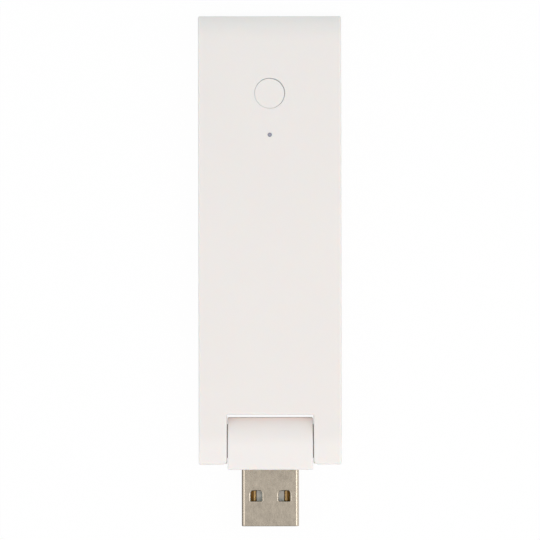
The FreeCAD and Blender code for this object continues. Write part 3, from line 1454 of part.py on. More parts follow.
make_front_cover()
make_rear_cover()
make_main_board()
make_board_screws()
make_chips()
make_power_inductor()
make_small_parts()
make_light()
make_switch()
make_button_cap()
make_board_socket()
make_cable_connector()
make_hinge_cable()
make_head_half("head_front", turned=False)
make_head_half("head_rear", turned=True)
make_usb_shell()
make_usb_insulator()
lanes = {"power": (-1, True), "data_minus": (-1, False), "data_plus": (1, True), "ground": (1, False)}
for contact_name, contact_x in contact_places().items():
    make_contact(contact_name, contact_x)
    make_wire(contact_name, contact_x, *lanes[contact_name])
for side_name, side_sign in SIDES.items():
    make_antenna(side_name, side_sign)
    make_hinge_pin(side_name, side_sign, hollow=side_sign > 0)
    washer_start = HEAD_HALF if side_sign > 0 else f"(0 - {NOTCH_HALF} + Sizes.washer_play)"
    washer_thick = "Sizes.head_side_gap - Sizes.washer_play"
    washer_radii = ("Sizes.washer_radius", "Sizes.shaft_radius")
    make_ring(f"thrust_washer_{side_name}", washer_start, washer_thick, *washer_radii)
    make_spring_washer(side_name, side_sign)
    make_clip(side_name, side_sign)

# Check every object, then write each piece

doc.recompute()
for item in doc.Objects:
    if "Invalid" in item.State or "Error" in item.State:
        raise RuntimeError(f"{item.Label} failed: {item.State}")
for piece in pieces:
    if piece.Shape.isNull() or not piece.Shape.isValid():
        raise RuntimeError(f"{piece.Label} has no valid shape")
    piece.Shape.exportStep(f"parts/{piece.Label}.step")
print(len(pieces), "pieces written")
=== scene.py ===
# %% [markdown]
# A smart home radio stick with a hinged plug, dressed for its portrait.
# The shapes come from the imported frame: the covers, the plug head, the sheet metal plug and everything
# inside. This script gives each of them its finish, and sets up the camera, the lamps and the floor of a
# product photograph.

# %% Load the frame
import json
import math

import bpy
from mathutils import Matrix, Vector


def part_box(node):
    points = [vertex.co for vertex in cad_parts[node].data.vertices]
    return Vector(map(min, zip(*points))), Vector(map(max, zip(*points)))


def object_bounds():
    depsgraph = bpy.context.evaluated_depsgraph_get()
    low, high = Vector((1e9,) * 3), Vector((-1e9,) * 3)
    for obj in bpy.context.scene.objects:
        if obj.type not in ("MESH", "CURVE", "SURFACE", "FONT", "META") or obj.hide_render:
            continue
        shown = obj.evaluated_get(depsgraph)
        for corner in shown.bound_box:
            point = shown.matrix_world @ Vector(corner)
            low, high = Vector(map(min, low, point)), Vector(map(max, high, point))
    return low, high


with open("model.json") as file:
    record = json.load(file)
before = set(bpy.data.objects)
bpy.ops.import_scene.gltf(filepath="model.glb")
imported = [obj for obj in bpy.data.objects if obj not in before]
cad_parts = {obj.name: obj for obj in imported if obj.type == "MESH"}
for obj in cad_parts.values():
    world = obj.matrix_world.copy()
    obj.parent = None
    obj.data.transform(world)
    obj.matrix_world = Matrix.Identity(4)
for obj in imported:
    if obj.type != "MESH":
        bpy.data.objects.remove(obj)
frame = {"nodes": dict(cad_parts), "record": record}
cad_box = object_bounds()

MM = 0.001
nodes = frame["nodes"]
box_size = [round((high - low) / MM, 2) for low, high in zip(*cad_box)]
print(len(nodes), "nodes; the whole stick measures", box_size, "mm")

# %% [markdown]
# The camera looks straight down on the front face, as for a catalogue picture. An orthographic camera
# would give the plainest outline, but no real lens does that. So a long lens looks down from one and a half
# metres: the front face and the edges of the back show at almost the same scale, and nothing leans. Its
# focal length is worked out from the scale that the standard 12 mm plug shows. The hair of roll is the tilt
# of the stick in the picture.

# %% Camera
SENSOR_WIDTH = 36.0
PICTURE_PIXELS = 540
PIXELS_PER_MM = 4.7748
CAMERA_HEIGHT = 1.5
CAMERA_X = 0.002 * MM
CAMERA_Y = 0.267 * MM
CAMERA_ROLL = -0.105
NEAREST_VIEW = 0.05
FARTHEST_VIEW = 50.0

front_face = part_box("front_cover")[1].z
focal_pixels = PIXELS_PER_MM / MM * (CAMERA_HEIGHT - front_face)
lens = bpy.data.cameras.new("catalogue_lens")
lens.sensor_width = SENSOR_WIDTH
lens.lens = focal_pixels * SENSOR_WIDTH / PICTURE_PIXELS
lens.clip_start = NEAREST_VIEW
lens.clip_end = FARTHEST_VIEW
camera = bpy.data.objects.new("catalogue_camera", lens)
camera.location = (CAMERA_X, CAMERA_Y, CAMERA_HEIGHT)
camera.rotation_euler = (0, 0, math.radians(CAMERA_ROLL))
bpy.context.scene.collection.objects.link(camera)
bpy.context.scene.camera = camera
bpy.context.scene.view_settings.view_transform = "Standard"
print("lens", round(lens.lens, 1), "mm at", CAMERA_HEIGHT, "m")

# %% [markdown]
# A finish is a small graph of shader nodes. They could be wired one call at a time, as in the node editor,
# but that hides the idea, so two helpers are made. The first, Number, wraps one output of a node: sums,
# differences and products written with it add Math nodes, so that a line of shader maths reads as the
# formula that it is.


# %% A number that writes its own Math nodes
class Number:
    """One output of a shader node. An expression on it adds Math nodes."""

    def __init__(self, graph, output):
        self.graph = graph
        self.output = output

    def __add__(self, other):
        return self.graph.maths("ADD", self, other)

    def __radd__(self, other):
        return self.graph.maths("ADD", other, self)

    def __sub__(self, other):
        return self.graph.maths("SUBTRACT", self, other)

    def __rsub__(self, other):
        return self.graph.maths("SUBTRACT", other, self)

    def __mul__(self, other):
        return self.graph.maths("MULTIPLY", self, other)

    def __rmul__(self, other):
        return self.graph.maths("MULTIPLY", other, self)


print("Number is ready")

# %% [markdown]
# The second helper, Graph, makes every other node from its type, its settings and its inputs. Its short
# methods name what many finishes need: a grain, a ramp, a distance from the middle, a relief. Each pattern
# starts from the place on the piece itself, so it stays where it is when the piece moves.


# %% A graph that makes every other node
class Graph:
    """The nodes of one finish or of the sky."""

    def __init__(self, owner):
        owner.use_nodes = True
        self.nodes = owner.node_tree.nodes
        self.links = owner.node_tree.links
        self.nodes.clear()

    def add(self, kind, settings=None, inputs=None, output=0):
        """Adds one node and returns the output of that name, or a list of outputs for a list of names."""
        node = self.nodes.new(kind)
        for name, value in (settings or {}).items():
            setattr(node, name, value)
        for name, value in (inputs or {}).items():
            self.feed(self.socket(node.inputs, name), value)
        if len(node.outputs) == 0:
            return node
        if isinstance(output, list):
            return [Number(self, self.socket(node.outputs, name)) for name in output]
        return Number(self, self.socket(node.outputs, output))

    @staticmethod
    def socket(sockets, name):
        """The socket in use with that name or number: a node may hide others of the same name."""
        usable = [socket for socket in sockets if socket.enabled]
        if isinstance(name, int):
            return usable[name]
        return next(socket for socket in usable if socket.name == name)

    def feed(self, socket, value):
        """Links another node's output to that input, or sets it to a plain value."""
        if isinstance(value, Number):
            self.links.new(value.output, socket)
        else:
            socket.default_value = value

    def maths(self, operation, *values):
        """One Math node on those numbers."""
        return self.add("ShaderNodeMath", {"operation": operation}, dict(enumerate(values)))

    def vectors(self, operation, *values, output=0):
        """One Vector Math node on those vectors."""
        return self.add("ShaderNodeVectorMath", {"operation": operation}, dict(enumerate(values)), output)

    def split(self, vector):
        """The X, Y and Z of a vector."""
        return self.add("ShaderNodeSeparateXYZ", None, {"Vector": vector}, output=["X", "Y", "Z"])

    def blend(self, factor, first, second):
        """A colour between two colours."""
        settings = {"data_type": "RGBA"}
        return self.add("ShaderNodeMix", settings, {"Factor": factor, "A": first, "B": second})

    def ramp(self, value, start, end, interpolation="LINEAR"):
        """0 at start and 1 at end, and the same beyond them. Start may be the larger of the two."""
        ends = {"Value": value, "From Min": start, "From Max": end}
        return self.add("ShaderNodeMapRange", {"interpolation_type": interpolation}, ends)

    def soft_ramp(self, value, start, end):
        """A ramp that leaves 0 and reaches 1 without a kink."""
        return self.ramp(value, start, end, "SMOOTHSTEP")

    def place(self):
        """The point on the piece, in metres. It moves with the piece."""
        return self.add("ShaderNodeTexCoord", output="Object")

    def grain(self, size, stretch=(1, 1, 1), detail=2.0):
        """Noise from 0 to 1 with grains of about size metres, pulled out along each axis by its stretch."""
        scale = [1 / (size * length) for length in stretch]
        spread = self.vectors("MULTIPLY", self.place(), scale)
        return self.add("ShaderNodeTexNoise", None, {"Vector": spread, "Scale": 1.0, "Detail": detail})

    def beyond(self, start, end):
        """0 up to start metres from the middle plane of the stick, and 1 from end metres on."""
        sideways = self.split(self.place())[0]
        return self.soft_ramp(self.maths("ABSOLUTE", sideways), start, end)

    def leaning(self, start, end):
        """0 where the surface leans sideways by less than start, and 1 where it leans by end or more."""
        facing = self.add("ShaderNodeTexCoord", output="Normal")
        sideways = self.split(facing)[0]
        return self.soft_ramp(self.maths("ABSOLUTE", sideways), start, end)

    def relief(self, height, depth):
        """Bumps of that height pattern, depth metres high."""
        return self.add("ShaderNodeBump", None, {"Height": height, "Distance": depth, "Strength": 1.0})

    def surface(self, **values):
        """Closes the graph with the surface shader. Names of inputs are written with underscores."""
        inputs = {name.replace("_", " "): value for name, value in values.items()}
        shader = self.add("ShaderNodeBsdfPrincipled", None, inputs)
        self.add("ShaderNodeOutputMaterial", None, {"Surface": shader})


print("Graph is ready")

# %% [markdown]
# The light is that of a white tent. Big lamps on all sides could give it, but the sky of the scene does the
# same with one colour, a little cool. The camera and the reflections see the tent's cloth instead: white
# walls, and a ceiling that is darker than the walls, which keeps the flat metal from burning out. The height
# of a direction, 0 at the horizon and 1 straight up, tells walls and ceiling apart.

# %% Sky
AMBIENT = (0.60, 0.685, 0.705, 1)
WALL_WHITE = (1.0, 1.0, 1.0, 1)
CEILING_GREY = (0.78, 0.78, 0.78, 1)
CEILING_FROM = 0.55


def seen_directly(graph):
    """1 for the rays of the camera, of reflections and of glass, and 0 for the light on a matt surface."""
    kinds = ["Is Camera Ray", "Is Glossy Ray", "Is Transmission Ray"]
    camera_ray, glossy_ray, glass_ray = graph.add("ShaderNodeLightPath", output=kinds)
    return graph.add("ShaderNodeClamp", None, {"Value": camera_ray + glossy_ray + glass_ray})


sky = bpy.data.worlds.new("white_tent")
bpy.context.scene.world = sky
graph = Graph(sky)
direction = graph.add("ShaderNodeTexCoord", output="Generated")
height = graph.split(direction)[2]
tent = graph.blend(graph.soft_ramp(height, CEILING_FROM, 1.0), WALL_WHITE, CEILING_GREY)
light = graph.blend(seen_directly(graph), AMBIENT, tent)
background = graph.add("ShaderNodeBackground", None, {"Color": light, "Strength": 1.0})
graph.add("ShaderNodeOutputWorld", None, {"Surface": background})
print("the sky gives", AMBIENT[:3], "and shows", CEILING_GREY[0], "overhead")

# %% [markdown]
# One softbox close above, a little towards the plug and to the right, adds warm light: it is why the far
# end, which curves away from it, turns grey. It has a polarising sheet, as photographers use over metal, so
# reflections don't show it. Two small boxes at the sides draw the bright lines along the rolled edges of
# the plug. A sun or a bare bulb would shade the same way, but would leave hard shadows in the narrow gaps.

# %% Softboxes
KEY_WARM = (1.0, 0.72, 0.655)
PLAIN_WHITE = (1.0, 1.0, 1.0)


def softbox(name, place, side, power, colour):
    """A square lamp that faces the stick and that the camera itself doesn't see."""
    data = bpy.data.lights.new(name, "AREA")
    data.shape = "SQUARE"
    data.size = side
    data.energy = power
    data.color = colour
    lamp = bpy.data.objects.new(name, data)
    lamp.location = place
    outward = lamp.location.normalized()
    lamp.rotation_euler = outward.to_track_quat("Z", "Y").to_euler()
    lamp.visible_camera = False
    bpy.context.scene.collection.objects.link(lamp)
    return lamp


key_box = softbox("key_softbox", (0.05, -0.11, 0.45), side=0.28, power=0.70, colour=KEY_WARM)
key_box.visible_glossy = False
right_box = softbox("right_box", (0.42, -0.05, 0.45), side=0.22, power=0.38, colour=PLAIN_WHITE)
left_box = softbox("left_box", (-0.42, -0.05, 0.45), side=0.22, power=0.23, colour=PLAIN_WHITE)
for lamp in (key_box, right_box, left_box):
    print(lamp.name, "hangs", round(lamp.location.length, 2), "m from the stick")

# %% [markdown]
# The floor is a white sweep. What the camera sees of it has to be pure white, yet the stick should still
# lie on something. A plain white floor comes out grey in this light, and more light would burn out the
# stick. So the floor shines by itself for the camera and for reflections, apart from a small share that is
# an ordinary white surface: this share keeps the faint shadow. For the light that bounces up, it is only
# white paper. It lies a hair below the stick, so that the two don't share a plane.

# %% Floor
FLOOR_REACH = 4.0
FLOOR_DROP = 0.02 * MM
FLOOR_GLOW = 0.96
PAPER_WHITE = (0.95, 0.95, 0.95, 1)
GLOW_WHITE = (1, 1, 1, 1)


def lying(left, right, front, back, level):
    """The corners of a sheet that lies at that level."""
    return [(left, front, level), (right, front, level), (right, back, level), (left, back, level)]


def flat_sheet(name, corners, material):
    """A sheet of that material between four corners."""
    mesh = bpy.data.meshes.new(name)
    mesh.from_pydata(corners, [], [(0, 1, 2, 3)])
    mesh.materials.append(material)
    sheet = bpy.data.objects.new(name, mesh)
    bpy.context.scene.collection.objects.link(sheet)
    return sheet


floor_level = cad_box[0].z - FLOOR_DROP
paper = bpy.data.materials.new("white_sweep")
graph = Graph(paper)
matt = graph.add("ShaderNodeBsdfDiffuse", None, {"Color": PAPER_WHITE})
glow = graph.add("ShaderNodeEmission", None, {"Color": GLOW_WHITE, "Strength": 1.0})
share = seen_directly(graph) * FLOOR_GLOW
mixed = graph.add("ShaderNodeMixShader", None, {0: share, 1: matt, 2: glow})
graph.add("ShaderNodeOutputMaterial", None, {"Surface": mixed})
floor_corners = lying(-FLOOR_REACH, FLOOR_REACH, -FLOOR_REACH, FLOOR_REACH, floor_level)
floor = flat_sheet("floor", floor_corners, paper)
print("the floor reaches", FLOOR_REACH, "m out at", floor_level, "m")

# %% [markdown]
# A white object on a white floor has no outline. The edges could be painted darker, but that would look
# wrong from other sides, so grey cards lie beside the stick, as product photographers lay them. Only
# reflections see them here: the rolled left edge of the plug and the rounded edges of the casing pick them
# up as a thin darker line. The cards on the left and before the tip are dark, and the one on the right is
# lighter. A fifth card stands upright before the tip, because the rounded rim of the plug mirrors what lies
# straight ahead of it.

# %% Grey cards
CARD_REACH = 0.30
CARD_LIFT = 0.01 * MM
CARD_DARK = 0.28
CARD_DARKER = 0.25
CARD_LIGHT = 0.55
CARD_BLACK = 0.10
STANDING_AHEAD = 0.30
STANDING_REACH = 0.25
STANDING_HEIGHT = 0.25


def standing(reach, along, height):
    """The corners of a sheet that stands upright across the stick's line, at that place along it."""
    return [(-reach, along, 0), (reach, along, 0), (reach, along, height), (-reach, along, height)]


def grey_card(name, corners, shade):
    """A flat card that shines in that shade of grey and that only reflections see."""
    material = bpy.data.materials.new(name)
    graph = Graph(material)
    shine = graph.add("ShaderNodeEmission", None, {"Color": (shade, shade, shade, 1), "Strength": 1.0})
    graph.add("ShaderNodeOutputMaterial", None, {"Surface": shine})
    card = flat_sheet(name, corners, material)
    card.visible_camera = False
    card.visible_diffuse = False
    card.visible_transmission = False
    card.visible_shadow = False
    print(name, "shade", shade)


card_level = floor_level + CARD_LIFT
ear_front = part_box("front_cover")[0].y
tip = cad_box[0].y
plug_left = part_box("usb_shell")[0].x
casing_left, casing_right = cad_box[0].x, cad_box[1].x
grey_card("left_card", lying(-CARD_REACH, casing_left, -CARD_REACH, CARD_REACH, card_level), CARD_DARK)
grey_card("plug_card", lying(casing_left, plug_left, -CARD_REACH, ear_front, card_level), CARD_DARK)
grey_card("tip_card", lying(plug_left, -plug_left, -CARD_REACH, tip, card_level), CARD_DARKER)
grey_card("right_card", lying(casing_right, CARD_REACH, ear_front, CARD_REACH, card_level), CARD_LIGHT)
grey_card("standing_card", standing(STANDING_REACH, tip - STANDING_AHEAD, STANDING_HEIGHT), CARD_BLACK)

# %% [markdown]
# The casing is moulded in white plastic in a mould with a fine spark-eroded skin. Up close this is a field
# of tiny rounded grains a fifth of a millimetre across, which takes the shine off; from a step away it
# reads as satin. Modelled grains would take millions of faces, so a noise and a bump stand for them. White
# plastic also lets a little light through its skin: red travels furthest, so narrow gaps glow warm instead
# of going black. The subsurface value of the shader gives exactly that.
# The top edge of the plug head is its thinnest place, with the open gap behind it. There the warm glow of
# light that comes through the gap is painted into the colour, a trace warmer over the last millimetre. Four
# masks multiplied pick that strip out: close to the edge, no wider than the head, before the wall of the
# notch, and on the front side. Painted light also makes the ears and the head a shade paler over their last
# few millimetres.

# %% Casing plastic
CASING_LIGHT = (0.860, 0.822, 0.797, 1)
CASING_SHADE = (0.846, 0.808, 0.782, 1)
CASING_FLOW = 14 * MM
# Painted light: the ears and the head turn to this paler colour towards the plug end.
CASING_PAINTED_LIGHT = (0.886, 0.849, 0.825, 1)
PAINTED_LIGHT_FROM = 7.0 * MM
PAINTED_LIGHT_TO = 3.5 * MM
# A painted glow: this warm colour along the top edge of the plug head stands for light through the gap.
EDGE_PAINTED_GLOW = (0.930, 0.824, 0.785, 1)
EDGE_WIDTH = 0.9 * MM
EDGE_LEVEL = 0.4
WALL_CLEARANCE = 0.1 * MM
SKIN_GRAIN = 0.22 * MM
SKIN_DEPTH = 0.006 * MM
GLOW_SHARE = 0.35
GLOW_DEPTH = 0.9 * MM
GLOW_REACH = (0.85, 0.56, 0.42)

finishes = {}


def new_finish(name):
    """An empty material under the name of its slot, and its graph."""
    material = bpy.data.materials.new(name)
    finishes[name] = material
    return Graph(material)


graph = new_finish("casing_white")
skin = graph.grain(SKIN_GRAIN, detail=3.0)
flow = graph.grain(CASING_FLOW, detail=1.0)
across, along, up = graph.split(graph.place())
# Painted light: paler over the last few millimetres of the ears and the head.
painted_light_ramp = graph.soft_ramp(along, ear_front + PAINTED_LIGHT_FROM, ear_front + PAINTED_LIGHT_TO)
plastic = graph.blend(painted_light_ramp, graph.blend(flow, CASING_LIGHT, CASING_SHADE), CASING_PAINTED_LIGHT)
head_low, head_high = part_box("head_front")
edge_level = head_low.z + EDGE_LEVEL * (head_high.z - head_low.z)
# Painted glow along the top edge of the head, where light comes through the gap behind it.
painted_glow_strip = graph.soft_ramp(along, head_high.y - EDGE_WIDTH, head_high.y)
in_notch = graph.maths("COMPARE", across, 0.0, head_high.x)
before_wall = graph.maths("LESS_THAN", along, head_high.y + WALL_CLEARANCE)
in_front = graph.maths("GREATER_THAN", up, edge_level)
graph.surface(
    Base_Color=graph.blend(painted_glow_strip * in_notch * before_wall * in_front, plastic, EDGE_PAINTED_GLOW),
    Roughness=0.40 + 0.14 * skin,
    Normal=graph.relief(skin, SKIN_DEPTH),
    Subsurface_Weight=GLOW_SHARE,
    Subsurface_Radius=GLOW_REACH,
    Subsurface_Scale=GLOW_DEPTH,
)
print("grains of", SKIN_GRAIN / MM, "mm; red light travels", round(GLOW_REACH[0] * GLOW_DEPTH / MM, 2), "mm")

# %% [markdown]
# The plug is rolled from nickel-plated steel strip. Rolling and barrel plating leave a dull, mottled skin
# with a faint direction along the strip. A picture of such metal could be wrapped round it, but noises need
# no picture and fit every size. Two fine noises do it, rounded mottles and the same pulled out along the
# plug, over two coarse ones for clouds and banks. Each mating rubs the rolled edges, so there they are
# calmed. The rounded lips of the two windows get a painted highlight, a lighter colour: on the flat of the
# plug, these are where the surface leans sideways.
# The same function makes the other sheet metal: shields, springs, clips, antennas and the lids of the
# crystals. Each call gives the colour, the size of the mottles, their contrast and the roughness.

# %% Sheet metal
LINE_SCALE, CLOUD_SCALE, BANK_SCALE = 0.6, 3.5, 12
SPOT_SHARE, LINE_SHARE = 0.55, 0.45
FINE_SHARE, CLOUD_SHARE, BANK_SHARE = 0.58, 0.27, 0.15
PATTERN_LOW, PATTERN_HIGH = 0.32, 0.68
RELIEF_SCALE = 0.008
BURNISH = 0.85
BURNISH_BLEND = 0.3 * MM
ROLLED_WIDTH = 0.9 * MM
# Painted highlight: the lighter colour of the window lips.
LIP_PAINTED_HIGHLIGHT = (0.72, 0.64, 0.53, 1)
LIP_FROM = 0.15
LIP_TO = 0.50


def shades(colour, contrast):
    """A darker and a lighter shade of that colour."""
    darker = [value * (1 - contrast) for value in colour] + [1]
    lighter = [value * (1 + contrast) for value in colour] + [1]
    return darker, lighter


def calmed(pattern, rubbed):
    """The pattern, drawn towards its mean of a half where the metal is rubbed."""
    return pattern * (1 - rubbed * BURNISH) + rubbed * (BURNISH / 2)


def sheet_metal(name, colour, mottle, contrast, roughness, burnished_from=None):
    """Plated strip with mottles of that size, rubbed beyond that distance from the middle plane."""
    graph = new_finish(name)
    spots = graph.grain(mottle, detail=2.0)
    lines = graph.grain(mottle * LINE_SCALE, stretch=(1, 4, 1), detail=3.0)
    clouds = graph.grain(mottle * CLOUD_SCALE, stretch=(1, 1.6, 1), detail=1.0)
    banks = graph.grain(mottle * BANK_SCALE, detail=0.0)
    fine = spots * SPOT_SHARE + lines * LINE_SHARE
    pattern = fine * FINE_SHARE + clouds * CLOUD_SHARE + banks * BANK_SHARE
    if burnished_from:
        rubbed = graph.beyond(burnished_from, burnished_from + BURNISH_BLEND)
        fine = calmed(fine, rubbed)
        pattern = calmed(pattern, rubbed)
    plating = graph.blend(graph.ramp(pattern, PATTERN_LOW, PATTERN_HIGH), *shades(colour, contrast))
    if burnished_from:
        # Painted highlight on the window lips, where the surface leans sideways.
        painted_lip_highlight = graph.leaning(LIP_FROM, LIP_TO) * (1 - rubbed)
        plating = graph.blend(painted_lip_highlight, plating, LIP_PAINTED_HIGHLIGHT)
    graph.surface(
        Base_Color=plating,
        Metallic=1.0,
        Roughness=roughness + 0.12 * spots,
        Normal=graph.relief(fine, mottle * RELIEF_SCALE),
    )


rolled_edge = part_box("usb_shell")[1].x - ROLLED_WIDTH
sheet_metal("plug_steel", (0.545, 0.474, 0.384), 0.28 * MM, 0.27, 0.20, rolled_edge)
sheet_metal("shield_tin", (0.70, 0.70, 0.69), 0.50 * MM, 0.05, 0.30)
sheet_metal("spring_sheet", (0.55, 0.55, 0.56), 0.25 * MM, 0.05, 0.22)
sheet_metal("antenna_sheet", (0.75, 0.72, 0.62), 0.35 * MM, 0.06, 0.28)
sheet_metal("crystal_can", (0.75, 0.73, 0.68), 0.20 * MM, 0.04, 0.20)
print(len(finishes), "finishes so far; the plug is burnished from", round(rolled_edge / MM, 2), "mm out")

# %% [markdown]
# The four contacts are stamped from strip and gilded. One even gold would look like paint: each mating of
# the plug drags along them, so their polish runs in fine lines lengthwise, some bright and some brown. The
# outermost strip of the outer contacts is painted a dull brown that is less of a metal to the shader: it
# stands in for the dim reflection in the shade under the outer rim of each window, and keeps the bright line
# of each contact further in. The distance from the middle of the plug tells the two apart.

# %% Gilt contacts
GOLD_BRIGHT = (0.84, 0.58, 0.25, 1)
GOLD_BROWN = (0.34, 0.21, 0.08, 1)
# Painted shade: the dull brown of the outermost strip of the outer contacts.
BROWN_SHADE_STRIP = (0.27, 0.145, 0.025, 1)
GILDING_METALLIC = 0.85
SHADE_STRIP_METALLIC = 0.10
BRIGHT_GILDING_TO = 3.36 * MM
SHADE_STRIP_FROM = 3.46 * MM
RUB_WIDTH = 0.10 * MM
STAIN_SIZE = 0.8 * MM
RUB_SHARE, STAIN_SHARE = 0.7, 0.3
HAIR_DEPTH = 0.002 * MM

graph = new_finish("contact_gold")
rub = graph.grain(RUB_WIDTH, stretch=(1, 25, 1), detail=2.0)
stain = graph.grain(STAIN_SIZE, detail=2.0)
# Painted shade and reflection: brown and hardly a metal on the outermost strip.
painted_shade_strip = graph.beyond(BRIGHT_GILDING_TO, SHADE_STRIP_FROM)
gilding = graph.blend(rub * RUB_SHARE + stain * STAIN_SHARE, GOLD_BROWN, GOLD_BRIGHT)
graph.surface(
    Base_Color=graph.blend(painted_shade_strip, gilding, BROWN_SHADE_STRIP),
    Metallic=GILDING_METALLIC - painted_shade_strip * (GILDING_METALLIC - SHADE_STRIP_METALLIC),
    Roughness=0.14 + 0.14 * rub,
    Normal=graph.relief(rub, HAIR_DEPTH),
)
print("gilt contacts with a film from", SHADE_STRIP_FROM / MM, "mm out")

# %% [markdown]
# The hinge pins are turned on a lathe, so their marks are rings round the pin. Real grooves that fine would
# take many faces, so noise draws them: it hardly changes round the axis and changes fast along it.

# %% Turned steel
TURNED_DARK = (0.54, 0.54, 0.55, 1)
TURNED_LIGHT = (0.66, 0.66, 0.65, 1)
RING_PITCH = 0.05 * MM

graph = new_finish("hinge_steel")
rings = graph.grain(RING_PITCH, stretch=(1, 60, 60), detail=3.0)
graph.surface(
    Base_Color=graph.blend(rings, TURNED_DARK, TURNED_LIGHT),
    Metallic=1.0,
    Roughness=0.18 + 0.16 * rings,
    Normal=graph.relief(rings, HAIR_DEPTH),
)
print("turned steel with rings", RING_PITCH / MM, "mm apart")

# %% [markdown]
# The other mouldings are the grey tongue of the plug, the dark nylon washers, the black bodies of the chips,
# the ferrite core, the cream sockets and the soft pad. Each could have a graph of its own, but they differ
# only in colour, in how shiny they are and in their grain, so one function makes them all. Each call gives
# the colour, the size and depth of the grain and the roughness, and then a number where the colour varies
# more or less than usual. The screws and the wires have so plain a finish that it makes them too.

# %% Small mouldings
CLOUDS_PER_GRAIN = 18
WIRES = {
    "wire_red": (0.55, 0.02, 0.015),
    "wire_white": (0.78, 0.78, 0.76),
    "wire_green": (0.02, 0.30, 0.06),
    "wire_black": (0.018, 0.018, 0.020),
}


def moulding(name, colour, grain, depth, roughness, contrast=0.08, **constants):
    """Coloured plastic, rubber or ceramic with a grain of that size and depth."""
    graph = new_finish(name)
    skin = graph.grain(grain, detail=3.0)
    cloud = graph.grain(grain * CLOUDS_PER_GRAIN, detail=2.0)
    graph.surface(
        Base_Color=graph.blend(cloud, *shades(colour, contrast)),
        Roughness=roughness + 0.12 * skin,
        Normal=graph.relief(skin, depth),
        **constants,
    )


moulding("plug_tongue", (0.64, 0.69, 0.64), 0.12 * MM, 0.003 * MM, 0.34, 0.03)
moulding("washer_dark", (0.10, 0.035, 0.025), 0.10 * MM, 0.003 * MM, 0.45)
moulding("chip_black", (0.028, 0.028, 0.030), 0.08 * MM, 0.004 * MM, 0.48, 0.15)
moulding("ferrite_grey", (0.11, 0.11, 0.115), 0.12 * MM, 0.006 * MM, 0.60, 0.15)
moulding("socket_cream", (0.83, 0.78, 0.63), 0.12 * MM, 0.003 * MM, 0.38)
moulding("pad_blue", (0.24, 0.38, 0.58), 0.30 * MM, 0.020 * MM, 0.62)
moulding("cable_jacket", (0.035, 0.035, 0.038), 0.15 * MM, 0.006 * MM, 0.50)
moulding("screw_black", (0.045, 0.045, 0.050), 0.10 * MM, 0.003 * MM, 0.32, 0.20, Metallic=0.6)
for name, colour in WIRES.items():
    moulding(name, colour, 0.10 * MM, 0.001 * MM, 0.26, 0.05, Coat_Weight=0.3)
print(len(finishes), "finishes so far,", len(WIRES), "of them for wires")

# %% [markdown]
# The ceramic capacitors come off different reels, so each has its own shade of tan. That could take a
# material for each, but the shader can tell the separate solids of one mesh apart: each island gets its own
# random number, the same in every render.

# %% Ceramic
REEL_DARK = (0.33, 0.22, 0.14, 1)
REEL_LIGHT = (0.50, 0.38, 0.26, 1)
REEL_SHARE, SPECK_SHARE = 0.8, 0.2
SPECK_SIZE = 0.06 * MM

graph = new_finish("ceramic_tan")
reel = graph.add("ShaderNodeNewGeometry", output="Random Per Island")
speck = graph.grain(SPECK_SIZE, detail=2.0)
graph.surface(
    Base_Color=graph.blend(reel * REEL_SHARE + speck * SPECK_SHARE, REEL_DARK, REEL_LIGHT),
    Roughness=0.22 + 0.15 * speck,
    Normal=graph.relief(speck, HAIR_DEPTH),
)
print("ceramic, one shade for each reel")

# %% [markdown]
# The board is green: dark where solder mask covers bare glass fibre, and lighter where copper lies below
# it. Bare lines part the copper into fields, as the borders between the cells of a Voronoi pattern do. The
# copper is thinner than a hair, so a bump is enough for its edges.

# %% Solder mask
TRACK_PITCH = 1.6 * MM
BARE_TO = 0.06
COPPER_FROM = 0.10
MASK_ON_FIBRE = (0.012, 0.075, 0.035, 1)
MASK_ON_COPPER = (0.030, 0.150, 0.070, 1)
WEAVE_SIZE = 0.12 * MM
COPPER_SHARE, WEAVE_SHARE = 0.8, 0.2
COPPER_DEPTH = 0.012 * MM

graph = new_finish("board_green")
pitch = graph.vectors("SCALE", graph.place(), 1 / TRACK_PITCH)
border = graph.add("ShaderNodeTexVoronoi", {"feature": "DISTANCE_TO_EDGE"}, {"Vector": pitch, "Scale": 1.0})
copper = graph.ramp(border, BARE_TO, COPPER_FROM)
weave = graph.grain(WEAVE_SIZE, detail=2.0)
graph.surface(
    Base_Color=graph.blend(copper, MASK_ON_FIBRE, MASK_ON_COPPER),
    Roughness=0.24 + 0.12 * weave,
    Normal=graph.relief(copper * COPPER_SHARE + weave * WEAVE_SHARE, COPPER_DEPTH),
    Coat_Weight=0.3,
)
print("solder mask with tracks", TRACK_PITCH / MM, "mm apart")

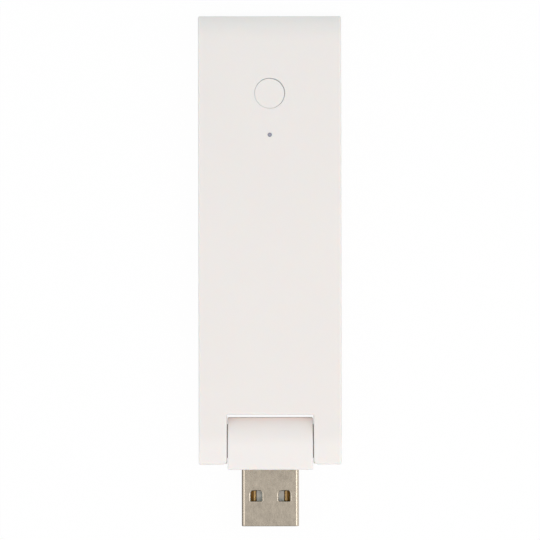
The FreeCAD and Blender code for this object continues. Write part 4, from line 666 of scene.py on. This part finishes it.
# %% [markdown]
# The status light shows as a small grey-blue dot: a clear rod moulded in acrylic that ends flush with the
# cover and leads down to the lamp on the board. Light that goes in hardly comes back, so the dot is darker
# than the casing, and darkest round its rim. True glass would need many bounces to show that, so a glossy
# surface with this shade stands for it. The distance from the rod's axis, worked out from the frame, drives
# the shade. The lamp itself is yellow phosphor in a pale ring.

# %% Light guide and status light
DOT_RADIUS = 0.45 * MM
DOT_MIDDLE = (0.36, 0.36, 0.44, 1)
DOT_RIM = (0.24, 0.24, 0.30, 1)
PHOSPHOR_RADIUS = 0.8 * MM
PHOSPHOR = (0.86, 0.78, 0.30, 1)
PALE_RING = (0.84, 0.83, 0.78, 1)
GLOSS_GRAIN = 0.1 * MM

rod_low, rod_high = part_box("light_guide")
rod_axis = (rod_low + rod_high) / 2


def from_axis(graph, radius):
    """0 on the rod's axis and 1 at that radius."""
    shifted = graph.vectors("SUBTRACT", graph.place(), rod_axis)
    flat = graph.vectors("MULTIPLY", shifted, (1, 1, 0))
    distance = graph.vectors("LENGTH", flat, output="Value")
    return graph.ramp(distance, 0.0, radius)


graph = new_finish("light_clear")
graph.surface(
    Base_Color=graph.blend(from_axis(graph, DOT_RADIUS), DOT_MIDDLE, DOT_RIM),
    Roughness=0.14 + 0.10 * graph.grain(GLOSS_GRAIN),
    Coat_Weight=0.4,
)
graph = new_finish("led_yellow")
graph.surface(
    Base_Color=graph.blend(from_axis(graph, PHOSPHOR_RADIUS), PHOSPHOR, PALE_RING),
    Roughness=0.30 + 0.10 * graph.grain(GLOSS_GRAIN),
)
print("light guide", round((rod_high.z - rod_low.z) / MM, 2), "mm long")

# %% [markdown]
# The finishes could be put on by hand, node after node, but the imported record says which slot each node
# takes its finish from, so one loop dresses them all. The node's own mesh stays as it is: only its material
# slots are filled.

# %% Dress the nodes
for part in frame["record"]["subparts"]:
    piece = nodes[part["node"]]
    if not piece.material_slots:
        piece.data.materials.append(None)
    for slot in piece.material_slots:
        slot.material = finishes[part["material_slot"]]
